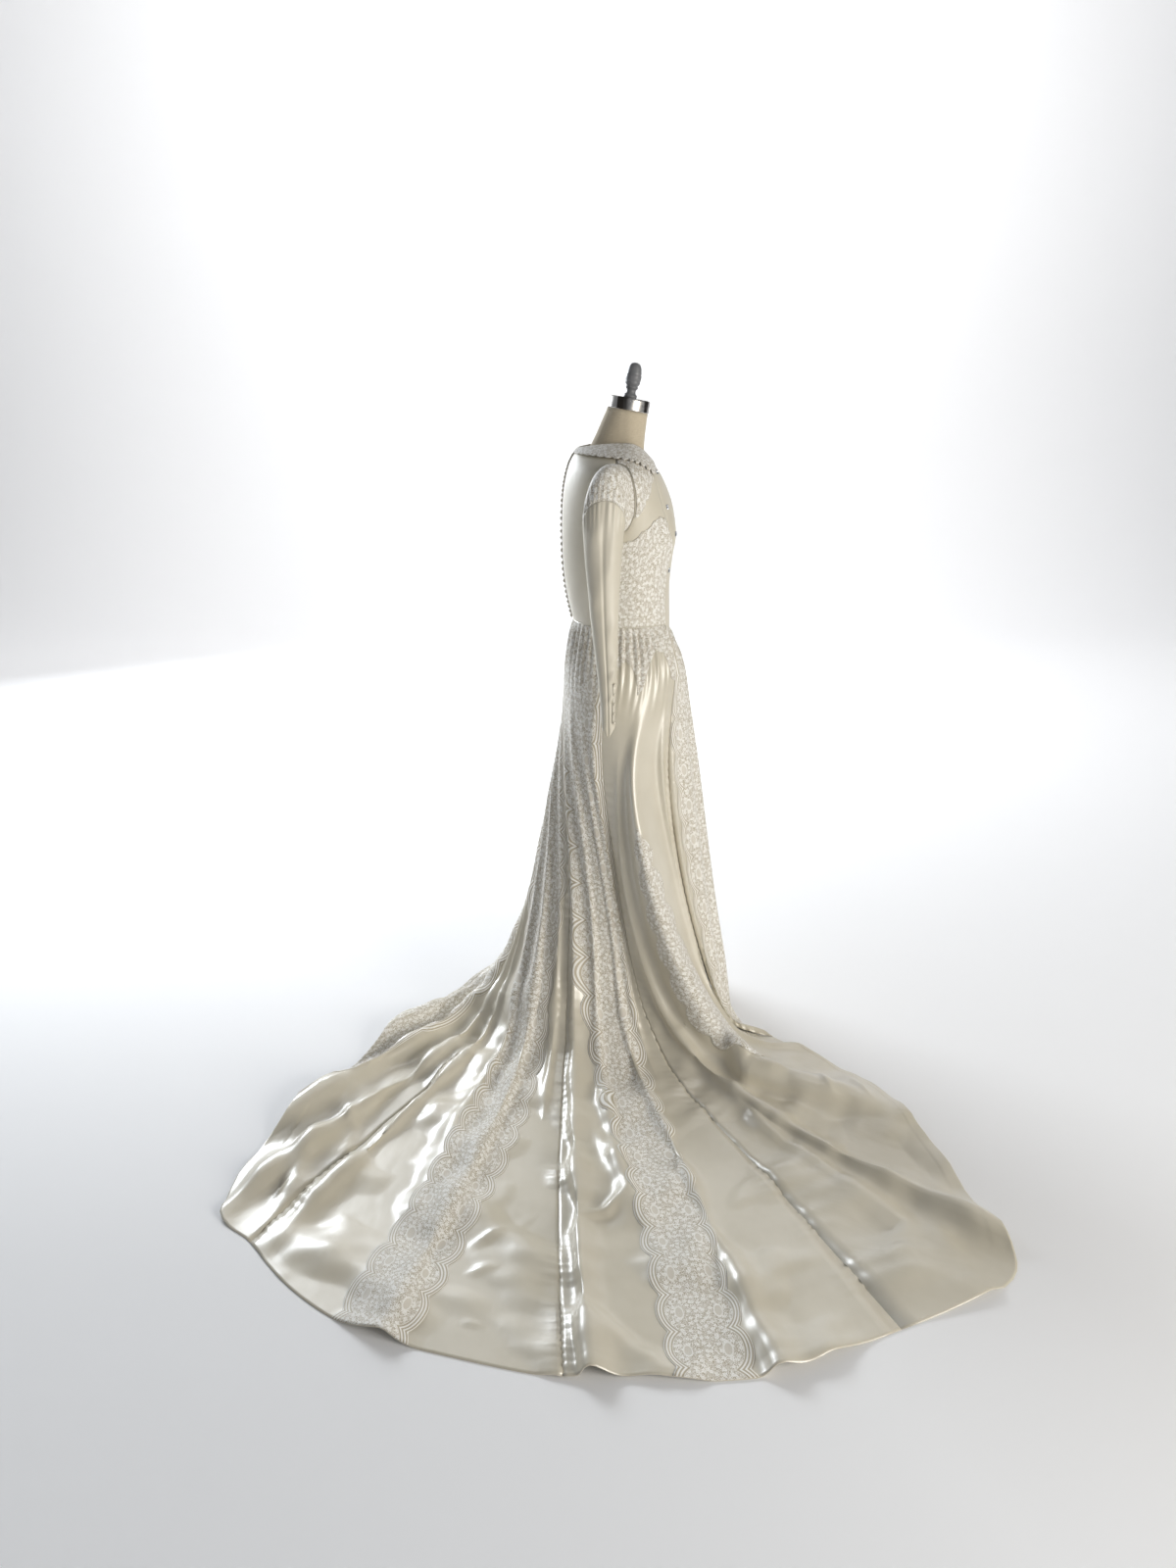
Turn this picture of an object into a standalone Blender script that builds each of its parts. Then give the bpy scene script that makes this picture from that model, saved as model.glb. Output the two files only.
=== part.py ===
"""A long-sleeved satin and lace wedding dress with a train, on a limbless dress form.

Metres, +Z up. The origin is on the floor, at the foot of the form's stand. +X is the
wearer's front and -Y the wearer's right, the side to which the train is laid out.
"""

import math

import bmesh
import bpy
import numpy as np
from mathutils import Matrix, Vector
from mathutils.bvhtree import BVHTree

# Cloth
SATIN_WALL = 0.0015
LACE_WALL = 0.0010
SEAM_GAP = 0.0003
FLOOR_CLEAR = 0.0004

# Waist and hips of the skirt: half depths front and back, half width, height
WAIST_Z = 1.006
WAIST = (0.107, 0.119, 0.121)
YOKE_Z = 0.958
YOKE = (0.131, 0.128, 0.146)
HIP_Z = 0.885
HIP = (0.149, 0.143, 0.183)
BASQUE_DIP = 0.045
BASQUE_SPREAD = 0.055
YOKE_DIP = 0.7 * BASQUE_DIP

# The skirt is five gores with lace laid over them. A share is part of the waist's turn
GORES = 5
GORE_SHARE = 1.0 / GORES
NEAR_SEAM = 0.48 * GORE_SHARE
GORE_NAMES = ("front", "right_side", "right_back", "left_back", "left_side")
GATHERS = 50
GATHER_HEIGHT = 0.0032
GATHER_AT_SEAM = 0.35
GATHER_FULL = 0.6
GATHER_FADES = 0.8
GATHER_END = 2.6
FRINGE = 0.020
SCALLOP_PITCH = 0.088
SCALLOP_DEPTH = 0.80
NOTCH_DEPTH = 0.12
TIP_LEVEL = 1.9

# Sides of each gore's lace as shares off the gore's middle, at levels down the skirt.
# Above the first level the lace covers the gore from seam to seam
BANDS = {
    "front": (
        (1.9, -0.100, 0.100), (2.6, -0.090, 0.090), (3.4, -0.080, 0.080), (4.2, -0.076, 0.076),
        (8.0, -0.072, 0.072),
    ),
    "right_side": (
        (1.9, -0.100, 0.100), (2.6, -0.060, 0.040), (3.4, -0.030, 0.006), (4.2, -0.026, -0.002),
        (4.9, -0.032, -0.002), (5.5, -0.044, -0.001), (6.0, -0.054, -0.001), (6.5, -0.050, -0.008),
        (7.2, -0.040, 0.000), (8.0, -0.030, 0.000),
    ),
    "right_back": (
        (1.9, -0.100, 0.100), (2.6, -0.086, 0.086), (4.2, -0.084, 0.080), (4.9, -0.078, 0.070),
        (5.5, -0.066, 0.054), (6.0, -0.054, 0.040), (6.5, -0.042, 0.032), (7.2, -0.031, 0.026),
        (8.0, -0.021, 0.022),
    ),
    "left_back": (
        (1.9, -0.100, 0.100), (2.6, -0.086, 0.086), (4.2, -0.080, 0.080), (4.9, -0.064, 0.064),
        (5.5, -0.053, 0.044), (6.0, -0.048, 0.028), (6.5, -0.046, 0.018), (7.2, -0.036, 0.014),
        (8.0, -0.024, 0.016),
    ),
    "left_side": (
        (1.9, -0.100, 0.100), (2.6, -0.088, 0.088), (3.4, -0.079, 0.079), (4.2, -0.066, 0.066),
        (5.5, -0.055, 0.055), (8.0, -0.045, 0.045),
    ),
}
# Lace that isn't whole: the piece's name, its gore and the levels it runs between
LACE_PARTS = {
    "right_side": (("hip_lace_right_side", 0.0, 1.9), ("skirt_lace_right_side", 3.4, 6.5)),
}

# Where each line of the skirt runs: its share of the waist from the centre front by the
# wearer's right, then x and y at three heights, where it lands, half way and at the hem,
# and the height at which it lands.
GUIDE_HEIGHTS = (0.72, 0.47, 0.25)
GUIDES = (
    # share, x and y at 0.72, at 0.47, at 0.25, landing, half way, hem, and landing height
    (0.0, 0.17, 0.0, 0.205, 0.0, 0.234, 0.0, 0.254, 0.0, 0.264, 0.0, 0.272, 0.0, 0.13),
    (0.05, 0.144, -0.075, 0.177, -0.078, 0.212, -0.086, 0.247, -0.098, 0.265, -0.103, 0.282, -0.108, 0.1),
    (0.1, 0.088, -0.138, 0.12, -0.128, 0.17, -0.142, 0.25, -0.17, 0.31, -0.18, 0.37, -0.185, 0.02),
    (0.15, 0.046, -0.168, 0.098, -0.17, 0.146, -0.195, 0.25, -0.235, 0.37, -0.29, 0.5, -0.32, 0.0),
    (0.2, 0.002, -0.186, 0.042, -0.212, 0.098, -0.246, 0.225, -0.32, 0.4, -0.42, 0.605, -0.52, 0.0),
    (0.25, -0.03, -0.184, -0.004, -0.196, 0.04, -0.23, 0.16, -0.33, 0.4, -0.62, 0.668, -0.84, 0.0),
    (0.285, -0.052, -0.176, -0.018, -0.176, 0.018, -0.206, 0.1, -0.31, 0.33, -0.68, 0.64, -1.055, 0.0),
    (0.3, -0.062, -0.172, -0.026, -0.168, 0.008, -0.2, 0.075, -0.3, 0.255, -0.68, 0.445, -1.145, 0.0),
    (0.35, -0.088, -0.156, -0.046, -0.172, -0.01, -0.204, 0.018, -0.285, 0.15, -0.72, 0.27, -1.23, 0.0),
    (0.4, -0.108, -0.134, -0.07, -0.17, -0.04, -0.206, -0.034, -0.29, 0.065, -0.735, 0.12, -1.255, 0.0),
    (0.45, -0.128, -0.104, -0.1, -0.156, -0.082, -0.2, -0.085, -0.305, -0.04, -0.76, -0.01, -1.25, 0.0),
    (0.5, -0.142, -0.068, -0.13, -0.134, -0.132, -0.182, -0.138, -0.31, -0.15, -0.77, -0.125, -1.25, 0.0),
    (0.55, -0.152, -0.022, -0.154, -0.104, -0.172, -0.154, -0.19, -0.29, -0.245, -0.72, -0.31, -1.205, 0.0),
    (0.6, -0.156, 0.026, -0.176, -0.064, -0.212, -0.116, -0.245, -0.27, -0.345, -0.665, -0.47, -1.15, 0.0),
    (0.65, -0.148, 0.072, -0.187, -0.012, -0.236, -0.062, -0.285, -0.225, -0.43, -0.58, -0.6, -1.06, 0.0),
    (0.7, -0.128, 0.114, -0.184, 0.046, -0.238, 0.0, -0.31, -0.16, -0.49, -0.47, -0.715, -0.93, 0.0),
    (0.725, -0.112, 0.132, -0.176, 0.076, -0.236, 0.034, -0.322, -0.11, -0.52, -0.4, -0.8, -0.82, 0.0),
    (0.75, -0.094, 0.15, -0.162, 0.106, -0.228, 0.07, -0.328, -0.05, -0.5, -0.24, -0.735, -0.53, 0.0),
    (0.775, -0.076, 0.164, -0.146, 0.132, -0.214, 0.104, -0.322, 0.02, -0.45, -0.09, -0.6, -0.25, 0.0),
    (0.8, -0.056, 0.176, -0.124, 0.156, -0.192, 0.138, -0.296, 0.092, -0.38, 0.05, -0.47, 0.0, 0.0),
    (0.85, -0.008, 0.19, -0.064, 0.192, -0.122, 0.196, -0.19, 0.202, -0.225, 0.205, -0.26, 0.208, 0.02),
    (0.9, 0.06, 0.166, 0.024, 0.2, -0.006, 0.224, -0.03, 0.24, -0.044, 0.247, -0.06, 0.255, 0.1),
    (0.95, 0.136, 0.092, 0.144, 0.126, 0.154, 0.15, 0.16, 0.17, 0.165, 0.177, 0.17, 0.184, 0.13),
)

# Folds: share of the waist at the top and at the hem, half widths there as shares,
# height, how far the crest leans towards the back, and the levels between which it runs
FOLDS = (
    # top     hem    width0  width1   height    lean  from    to
    (0.030, 0.030, 0.012, 0.014, 0.012, 0.0, 1.8, 9.0),
    (0.062, 0.058, 0.010, 0.012, 0.013, 0.0, 2.0, 9.0),
    (0.092, 0.090, 0.009, 0.010, 0.016, 0.3, 1.9, 9.0),
    (0.122, 0.120, 0.010, 0.010, 0.016, 0.4, 1.9, 9.0),
    (0.190, 0.188, 0.022, 0.024, 0.042, 0.9, 2.0, 8.6),
    (0.234, 0.262, 0.012, 0.008, 0.030, 0.5, 2.6, 9.0),
    (0.330, 0.330, 0.013, 0.006, 0.014, 0.0, 1.8, 6.4),
    (0.372, 0.362, 0.010, 0.008, 0.020, 0.3, 2.2, 9.0),
    (0.420, 0.440, 0.011, 0.007, 0.016, 0.0, 2.0, 7.6),
    (0.478, 0.476, 0.010, 0.010, 0.030, 0.6, 2.2, 9.0),
    (0.520, 0.530, 0.009, 0.006, 0.016, 0.0, 2.0, 7.0),
    (0.575, 0.590, 0.010, 0.010, 0.022, -0.4, 2.2, 9.0),
    (0.628, 0.625, 0.010, 0.006, 0.016, 0.0, 2.0, 7.2),
    (0.672, 0.690, 0.010, 0.007, 0.026, 0.0, 2.2, 8.4),
    (0.716, 0.722, 0.010, 0.006, 0.034, 0.0, 2.2, 8.7),
    (0.752, 0.752, 0.011, 0.008, 0.042, 0.0, 2.2, 8.8),
    (0.790, 0.782, 0.011, 0.008, 0.044, 0.0, 2.2, 9.0),
    (0.835, 0.835, 0.012, 0.013, 0.022, 0.0, 2.0, 9.0),
    (0.872, 0.872, 0.011, 0.013, 0.020, 0.0, 2.0, 9.0),
    (0.912, 0.912, 0.011, 0.013, 0.018, 0.0, 2.0, 9.0),
    (0.945, 0.945, 0.010, 0.012, 0.014, 0.0, 2.0, 9.0),
    (0.975, 0.975, 0.010, 0.012, 0.012, 0.0, 1.8, 9.0),
)

FOLD_CREST = 1.8
FOLD_GROWS = 1.6
FOLD_FADES = 1.2
STEEPEST = 1.3
MIDWAY_LIFT = 0.45
FLOOR_SOFT = 0.004

# Rows of the skirt as levels of the form below, from the waist to the hem
SKIRT_ROWS = (0.0, 0.5, 1.2, 1.9, 2.6, 3.4, 4.2, 4.9, 5.5, 6.0, 6.5, 7.2, 8.0)
HEM_LEVEL = SKIRT_ROWS[-1]
THIN_ROW = 4
THIN_EVERY = 4
LACE_COLUMNS = 20
SIDE_COLUMNS = 5

# Bodice and form are rings: front x and z, back x and z, side y and z
BODICE = (
    (0.107, 1.008, -0.119, 1.008, 0.121, 1.008),
    (0.104, 1.055, -0.130, 1.050, 0.130, 1.055),
    (0.104, 1.100, -0.139, 1.100, 0.140, 1.100),
    (0.110, 1.160, -0.143, 1.160, 0.149, 1.155),
    (0.115, 1.212, -0.144, 1.220, 0.156, 1.205),
    (0.110, 1.262, -0.142, 1.280, 0.163, 1.250),
    (0.097, 1.300, -0.137, 1.320, 0.169, 1.290),
    (0.080, 1.335, -0.127, 1.358, 0.172, 1.345),
    (0.065, 1.355, -0.116, 1.378, 0.120, 1.378),
    (0.054, 1.366, -0.105, 1.390, 0.070, 1.400),
)
TORSO = (
    (0.060, 0.790, -0.075, 0.790, 0.080, 0.790),
    (0.118, 0.800, -0.128, 0.800, 0.155, 0.800),
    (0.126, 0.880, -0.132, 0.880, 0.163, 0.880),
    (0.096, 0.950, -0.118, 0.950, 0.134, 0.950),
    (0.088, 1.008, -0.104, 1.008, 0.106, 1.008),
    (0.090, 1.100, -0.124, 1.100, 0.125, 1.100),
    (0.096, 1.160, -0.128, 1.160, 0.134, 1.155),
    (0.101, 1.212, -0.129, 1.220, 0.141, 1.205),
    (0.096, 1.262, -0.127, 1.280, 0.148, 1.250),
    (0.083, 1.300, -0.122, 1.320, 0.153, 1.290),
    (0.066, 1.325, -0.112, 1.346, 0.153, 1.328),
    (0.050, 1.343, -0.100, 1.366, 0.106, 1.362),
    (0.040, 1.368, -0.084, 1.388, 0.058, 1.390),
    (0.041, 1.410, -0.070, 1.415, 0.050, 1.412),
    (0.048, 1.4642, -0.041, 1.4796, 0.0445, 1.4719),
)
CUP_HEIGHT = 1.205
CUP_ANGLE = 0.62
CUP_RISE = 0.014
CUP_SPREAD = (0.34, 0.048)

ARMHOLE_SHARE = 0.285
ARMHOLE_HALF = 0.060
ARMHOLE_LOW = 4.2
ARMHOLE_HIGH = 7.6
CENTRE_PANEL = 0.085
PANEL_FLARE = 0.030
BODICE_METRES = 0.55
NECK_LEVEL = len(BODICE) - 1.0
YOKE_LINE = ((0.100, 7.4), (0.235, 5.1))
MIDRIFF_FRONT = (0.080, 4.2)
MIDRIFF_PEAK = (0.140, 5.1)
MIDRIFF_SIDE = (0.240, 4.0)
ARMHOLE_MIDDLE = 0.5 * (ARMHOLE_LOW + ARMHOLE_HIGH)
ARMHOLE_TALL = 0.5 * (ARMHOLE_HIGH - ARMHOLE_LOW)
ARMHOLE_TURNS = np.radians(np.arange(-90, 91, 30))
ARMHOLE_ROWS = tuple(float(row) for row in ARMHOLE_MIDDLE + ARMHOLE_TALL * np.sin(ARMHOLE_TURNS))
PANEL_ROWS = (0.0, 1.0, 1.9, 2.6, 3.4) + ARMHOLE_ROWS + (8.3, NECK_LEVEL)
YOKE_SETBACK = 0.006

# Sleeve rings: centre x, y and z, half width in x, half depth in y, rise of the outer side
SLEEVE = (
    (-0.046, 0.184, 1.292, 0.043, 0.018, 0.076),
    (-0.050, 0.197, 1.262, 0.046, 0.028, 0.050),
    (-0.052, 0.204, 1.222, 0.043, 0.030, 0.022),
    (-0.053, 0.206, 1.175, 0.040, 0.030, 0.005),
    (-0.051, 0.209, 1.100, 0.034, 0.028, 0.000),
    (-0.048, 0.215, 1.005, 0.028, 0.024, 0.000),
    (-0.043, 0.224, 0.920, 0.021, 0.019, 0.000),
    (-0.041, 0.230, 0.860, 0.017, 0.016, 0.000),
    (-0.040, 0.233, 0.812, 0.015, 0.015, -0.016),
)
SLEEVE_LACE_END = 2.25
SLEEVE_SEAM = 0.016
SLEEVE_HEAD = (0.982, 0.993)
SLEEVE_SIDES = 12

# Collar leaf: way along it from the back, and how many bodice levels down its edge lies
COLLAR = ((0.0, 0.85), (0.3, 1.05), (0.6, 1.25), (0.8, 1.50), (0.92, 1.80), (1.0, 2.10))
COLLAR_BACK = 0.494
COLLAR_FRONT = (0.035, 0.125)
COLLAR_LIFT = (0.0042, 0.0058)
COLLAR_COLUMNS = 12

BACK_BUTTONS = 36
BACK_BUTTON_WIDTH = 0.0075
BACK_BUTTON_LEVELS = (8.6, 0.2)
CUFF_BUTTONS = 5
CUFF_BUTTON_WIDTH = 0.006
CUFF_BUTTON_TURN = math.radians(45)
CUFF_BUTTON_ROWS = (7.3, 8.7)
BACK_TAPE_LIFT = 0.0006
CUFF_TAPE_LIFT = -0.0001
TAPE_WALL = 0.0010
BUTTON_TAPER = 0.60
BUTTON_RISE = 0.35
ORNAMENTS = ((0.082, 7.3), (0.094, 5.3), (0.080, 4.0), (0.066, 2.44))
ORNAMENT_RADIUS = 0.0075
ORNAMENT_HEIGHT = 0.0030
ORNAMENT_LIFT = 0.0008
PETAL_NOTCH = 0.6

# Dress form and stand
CAP_CENTRE = (0.0035, 0.0, 1.4722)
CAP_TILT = math.radians(10.0)
CAP_RADIUS = 0.0465
CAP_HEIGHT = 0.0265
FINIAL = (
    (0.0140, 0.0000), (0.0150, 0.0050), (0.0115, 0.0080), (0.0105, 0.0160), (0.0135, 0.0210),
    (0.0125, 0.0240), (0.0170, 0.0330), (0.0175, 0.0430), (0.0160, 0.0560), (0.0120, 0.0680),
    (0.0060, 0.0740),
)
POLE_RADIUS = 0.014
TORSO_SIDES = 16
BASE = ((0.165, 0.0), (0.165, 0.012), (0.153, 0.0176), (0.033, 0.022))


# Scene
for old in list(bpy.data.objects):
    bpy.data.objects.remove(old, do_unlink=True)
dress = bpy.data.collections.new("wedding_dress_on_form")
bpy.context.scene.collection.children.link(dress)


def material(name, colour, roughness, metallic=0.0):
    """A Principled material of one colour."""
    made = bpy.data.materials.new(name)
    made.use_nodes = True
    shader = made.node_tree.nodes["Principled BSDF"]
    shader.inputs["Base Color"].default_value = (*colour, 1.0)
    shader.inputs["Roughness"].default_value = roughness
    shader.inputs["Metallic"].default_value = metallic
    return made


SATIN = material("ivory_satin", (0.78, 0.73, 0.61), 0.28)
LACE = material("ivory_lace", (0.80, 0.76, 0.68), 0.75)
LINEN = material("form_linen", (0.62, 0.54, 0.40), 0.85)
CHROME = material("cap_chrome", (0.80, 0.80, 0.80), 0.12, 1.0)
PAINTED = material("finial_grey", (0.10, 0.10, 0.11), 0.45)
STEEL = material("stand_steel", (0.55, 0.55, 0.56), 0.35, 1.0)
RHINESTONE = material("ornament_silver", (0.75, 0.75, 0.78), 0.20, 1.0)


def keep(bm, name, finish, smooth=True):
    """Make the bmesh an object of its own in the dress's collection."""
    bmesh.ops.recalc_face_normals(bm, faces=bm.faces)
    if bm.calc_volume(signed=True) < 0:
        bmesh.ops.reverse_faces(bm, faces=bm.faces)
    mesh = bpy.data.meshes.new(name)
    bm.to_mesh(mesh)
    bm.free()
    mesh.materials.append(finish)
    if smooth:
        mesh.shade_smooth()
    made = bpy.data.objects.new(name, mesh)
    dress.objects.link(made)
    return made


# Curves through the tables
def round_table(shares, rows, share):
    """Smooth values of a table that closes on itself, with one row a share of the turn."""
    share = np.mod(share, 1.0)
    knots = np.concatenate([shares - 1.0, shares, shares + 1.0])
    values = np.concatenate([rows, rows, rows])
    slopes = np.gradient(values, knots, axis=0)
    at = np.clip(np.searchsorted(knots, share, side="right") - 1, 0, len(knots) - 2)
    step = (knots[at + 1] - knots[at])[:, None]
    f = ((share - knots[at])[:, None]) / step
    start = values[at] * (2 * f**3 - 3 * f**2 + 1) + slopes[at] * step * (f**3 - 2 * f**2 + f)
    end = values[at + 1] * (3 * f**2 - 2 * f**3) + slopes[at + 1] * step * (f**3 - f**2)
    return start + end


def along_rows(controls, level):
    """A cubic B-spline down the rows of controls, which meets the first and the last."""
    first = 2 * controls[0] - controls[1]
    last = 2 * controls[-1] - controls[-2]
    padded = np.concatenate([first[None], controls, last[None]])
    count = len(controls)
    at = np.clip(np.floor(level).astype(int), 0, count - 2)
    f = (level - at)[:, None]
    pick = np.arange(len(level))
    p0, p1, p2, p3 = (padded[at + shift, pick] for shift in range(4))
    blend0 = (1 - f) ** 3
    blend1 = 3 * f**3 - 6 * f**2 + 4
    blend2 = -3 * f**3 + 3 * f**2 + 3 * f + 1
    return (blend0 * p0 + blend1 * p1 + blend2 * p2 + f**3 * p3) / 6.0


def ease(value):
    """Zero below 0, one above 1, and smooth between."""
    value = np.clip(value, 0.0, 1.0)
    return value * value * (3 - 2 * value)


# The form that all the skirt's pieces lie on
GUIDE_SHARES = np.array([row[0] for row in GUIDES])
GUIDE_ROWS = np.array([row[1:] for row in GUIDES])


def oval(share, sizes, height):
    """Points of a ring with its own depths to the front and back."""
    turn = -2 * math.pi * share
    front, back, side = sizes
    depth = np.where(np.cos(turn) > 0, front, back)
    return np.stack([depth * np.cos(turn), side * np.sin(turn), height], axis=1)


def waist_drop(share):
    """How far the waist seam dips to its point at the centre front."""
    off = np.mod(share + 0.5, 1.0) - 0.5
    return BASQUE_DIP * np.exp(-((off / BASQUE_SPREAD) ** 2))


def skirt_base(share, level):
    """The skirt's form without folds. Level 0 is the waist, 8 the hem."""
    guide = round_table(GUIDE_SHARES, GUIDE_ROWS, share)
    flat = np.full(len(share), SATIN_WALL + FLOOR_CLEAR)
    dip = waist_drop(share)
    yoke_dip = dip * YOKE_DIP / BASQUE_DIP
    rows = [oval(share, WAIST, WAIST_Z - dip), oval(share, YOKE, YOKE_Z - yoke_dip)]
    rows.append(oval(share, HIP, HIP_Z + 0 * share))
    for place, height in enumerate(GUIDE_HEIGHTS):
        x, y = guide[:, 2 * place], guide[:, 2 * place + 1]
        rows.append(np.stack([x, y, height + 0 * share], axis=1))
    lands = np.maximum(guide[:, 12], 0.0)
    rows.append(np.stack([guide[:, 6], guide[:, 7], flat + lands], axis=1))
    rows.append(np.stack([guide[:, 8], guide[:, 9], flat + MIDWAY_LIFT * lands], axis=1))
    rows.append(np.stack([guide[:, 10], guide[:, 11], flat], axis=1))
    return along_rows(np.array(rows), level)


def fold_height(share, level, cloth, gathered):
    """Height and sideways lean of the folds, and of the gathers under the waist.

    cloth is the metres of cloth for one whole share there, which limits how steep a fold is.
    """
    rise = np.zeros(len(share))
    lean = np.zeros(len(share))
    down = np.clip(level / HEM_LEVEL, 0.0, 1.0)
    for top, hem, wide0, wide1, height, slant, start, end in FOLDS:
        middle = top + (hem - top) * down
        width = wide0 + (wide1 - wide0) * down
        off = np.mod(share - middle + 0.5, 1.0) - 0.5
        shape = np.exp(-np.abs(off / width) ** FOLD_CREST)
        grow = ease((level - start) / FOLD_GROWS) * ease((end - level) / FOLD_FADES)
        lift = np.minimum(height, STEEPEST * width * cloth) * grow * shape
        rise += lift
        lean += slant * lift
    fade = GATHER_AT_SEAM + (1 - GATHER_AT_SEAM) * ease(level / GATHER_FULL)
    fade *= ease((GATHER_END - level) / (GATHER_END - GATHER_FADES))
    rise += gathered * GATHER_HEIGHT * fade * np.cos(2 * math.pi * GATHERS * share)
    return rise, lean


def unit(vectors):
    """The same vectors at length one."""
    return vectors / np.maximum(np.linalg.norm(vectors, axis=1), 1e-12)[:, None]


def skirt(share, level, gathered=1.0):
    """A point of the skirt's outer face."""
    ds, dl = 0.004, 0.02
    low = np.clip(level - dl, 0, HEM_LEVEL)
    high = np.clip(level + dl, 0, HEM_LEVEL)
    step = skirt_base(share + ds, level) - skirt_base(share - ds, level)
    across = unit(step)
    down = unit(skirt_base(share, high) - skirt_base(share, low))
    out = unit(np.cross(across, down))
    cloth = np.linalg.norm(step, axis=1) / (2 * ds)
    rise, lean = fold_height(share, level, cloth, gathered)
    point = skirt_base(share, level) + out * rise[:, None] + across * lean[:, None]
    over = point[:, 2] - SATIN_WALL - FLOOR_CLEAR
    lying = 0.5 * (over + np.sqrt(over**2 + FLOOR_SOFT**2))
    point[:, 2] = SATIN_WALL + FLOOR_CLEAR + lying - 0.5 * FLOOR_SOFT * (over > 0.1)
    return point


def skirt_facing(share, level):
    """Outward normals of the folded skirt, without its gathers, level at the waist seam."""
    ds, dl = 0.012, 0.1
    low = np.clip(level - dl, 0, HEM_LEVEL)
    high = np.clip(level + dl, 0, HEM_LEVEL)
    across = skirt(share + ds, level, 0.0) - skirt(share - ds, level, 0.0)
    down = skirt(share, high, 0.0) - skirt(share, low, 0.0)
    out = unit(np.cross(across, down))
    out[:, 2] *= ease(level / 0.5)
    return unit(out)


def seam_facing(centre, share, level):
    """Normals for a gore's edges, taken on the seam lines themselves."""
    off = share - centre
    on_seam = np.abs(off) > NEAR_SEAM
    seam = centre + np.sign(off) * 0.5 * GORE_SHARE
    return skirt_facing(np.where(on_seam, seam, share), level)


def spread(share, level, reach):
    """Metres of cloth for one whole share, within reach of a line of the skirt."""
    shares = np.full(1, share)
    levels = np.full(1, level)
    step = skirt(shares + reach, levels) - skirt(shares - reach, levels)
    return float(np.linalg.norm(step)) / (2 * reach)


def band_edges(label, level):
    """How far the two sides of a gore's lace lie off its middle there, as shares."""
    levels, low, high = zip(*BANDS[label])
    return float(np.interp(level, levels, low)), float(np.interp(level, levels, high))


# Walls made from a grid in the form's own shares and levels. On a sharp fold a point
# moves no further than the wall over this
THICKEST = 0.55


def grid_of(columns, rows):
    """A flat grid whose points stand at whole numbers of columns and rows."""
    bm = bmesh.new()
    bmesh.ops.create_grid(bm, x_segments=columns, y_segments=rows, size=1.0)
    for vert in bm.verts:
        vert.co.x = round((vert.co.x + 1) / 2 * columns)
        vert.co.y = round((vert.co.y + 1) / 2 * rows)
    return bm


def flat_places(bm):
    """The shares and levels at which a flat sheet's points stand."""
    share = np.array([vert.co.x for vert in bm.verts])
    level = np.array([vert.co.y for vert in bm.verts])
    return share, level


def settle(bm, points, edge_normals):
    """Store each point's place on its form and its offset in layers, in that order.

    Points inside the sheet are offset along the mean of their facets, and those on its
    edge along edge_normals, so that two pieces that meet there stay parted.
    """
    place = bm.verts.layers.float_vector.new("place")
    offset = bm.verts.layers.float_vector.new("offset")
    bm.verts.index_update()
    corners = [Vector(point) for point in points]
    normals = [Vector(out) for out in edge_normals]
    facet = {}
    for face in bm.faces:
        a, b, c = (corners[vert.index] for vert in face.verts)
        facet[face] = (b - a).cross(c - a).normalized()
    for vert in bm.verts:
        out = normals[vert.index]
        if not vert.is_boundary:
            out = Vector()
            for loop in vert.link_loops:
                out += facet[loop.face]
            out.normalize()
        near = [out.dot(facet[face]) for face in vert.link_faces]
        vert[place] = corners[vert.index]
        vert[offset] = out / max(min(near), THICKEST)
    return bm


def wall(bm, outer, inner, name, finish):
    """Give the settled sheet its two faces, outer and inner metres off the form."""
    place = bm.verts.layers.float_vector["place"]
    offset = bm.verts.layers.float_vector["offset"]
    made = bmesh.ops.extrude_face_region(bm, geom=list(bm.faces), use_keep_orig=True)
    raised = {item for item in made["geom"] if isinstance(item, bmesh.types.BMVert)}
    for vert in bm.verts:
        lift = outer if vert in raised else inner
        vert.co = vert[place] + vert[offset] * lift
    return keep(bm, name, finish)


def gore_columns(label, centre, level):
    """Shares of a gore's columns: seam, satin, lace edge, lace, and the same again."""
    edges, satin = {}, {}
    for side, off in zip((-1, 1), band_edges(label, level)):
        line = centre + side * 0.5 * GORE_SHARE
        seam = 0.5 * GORE_SHARE - 0.5 * SEAM_GAP / spread(line, level, 0.001)
        reach = min(side * off, seam)
        room = seam - reach
        fringe = min(FRINGE / spread(centre + off, level, 0.004), 0.5 * room)
        steps = [(room - fringe) * step / (SIDE_COLUMNS - 1) for step in range(SIDE_COLUMNS)]
        satin[side] = [centre + side * (seam - step) for step in steps]
        edges[side] = centre + side * reach
    width = edges[1] - edges[-1]
    lace = [edges[-1] + width * step / LACE_COLUMNS for step in range(LACE_COLUMNS + 1)]
    return satin[-1] + lace + satin[1][::-1]


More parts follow.
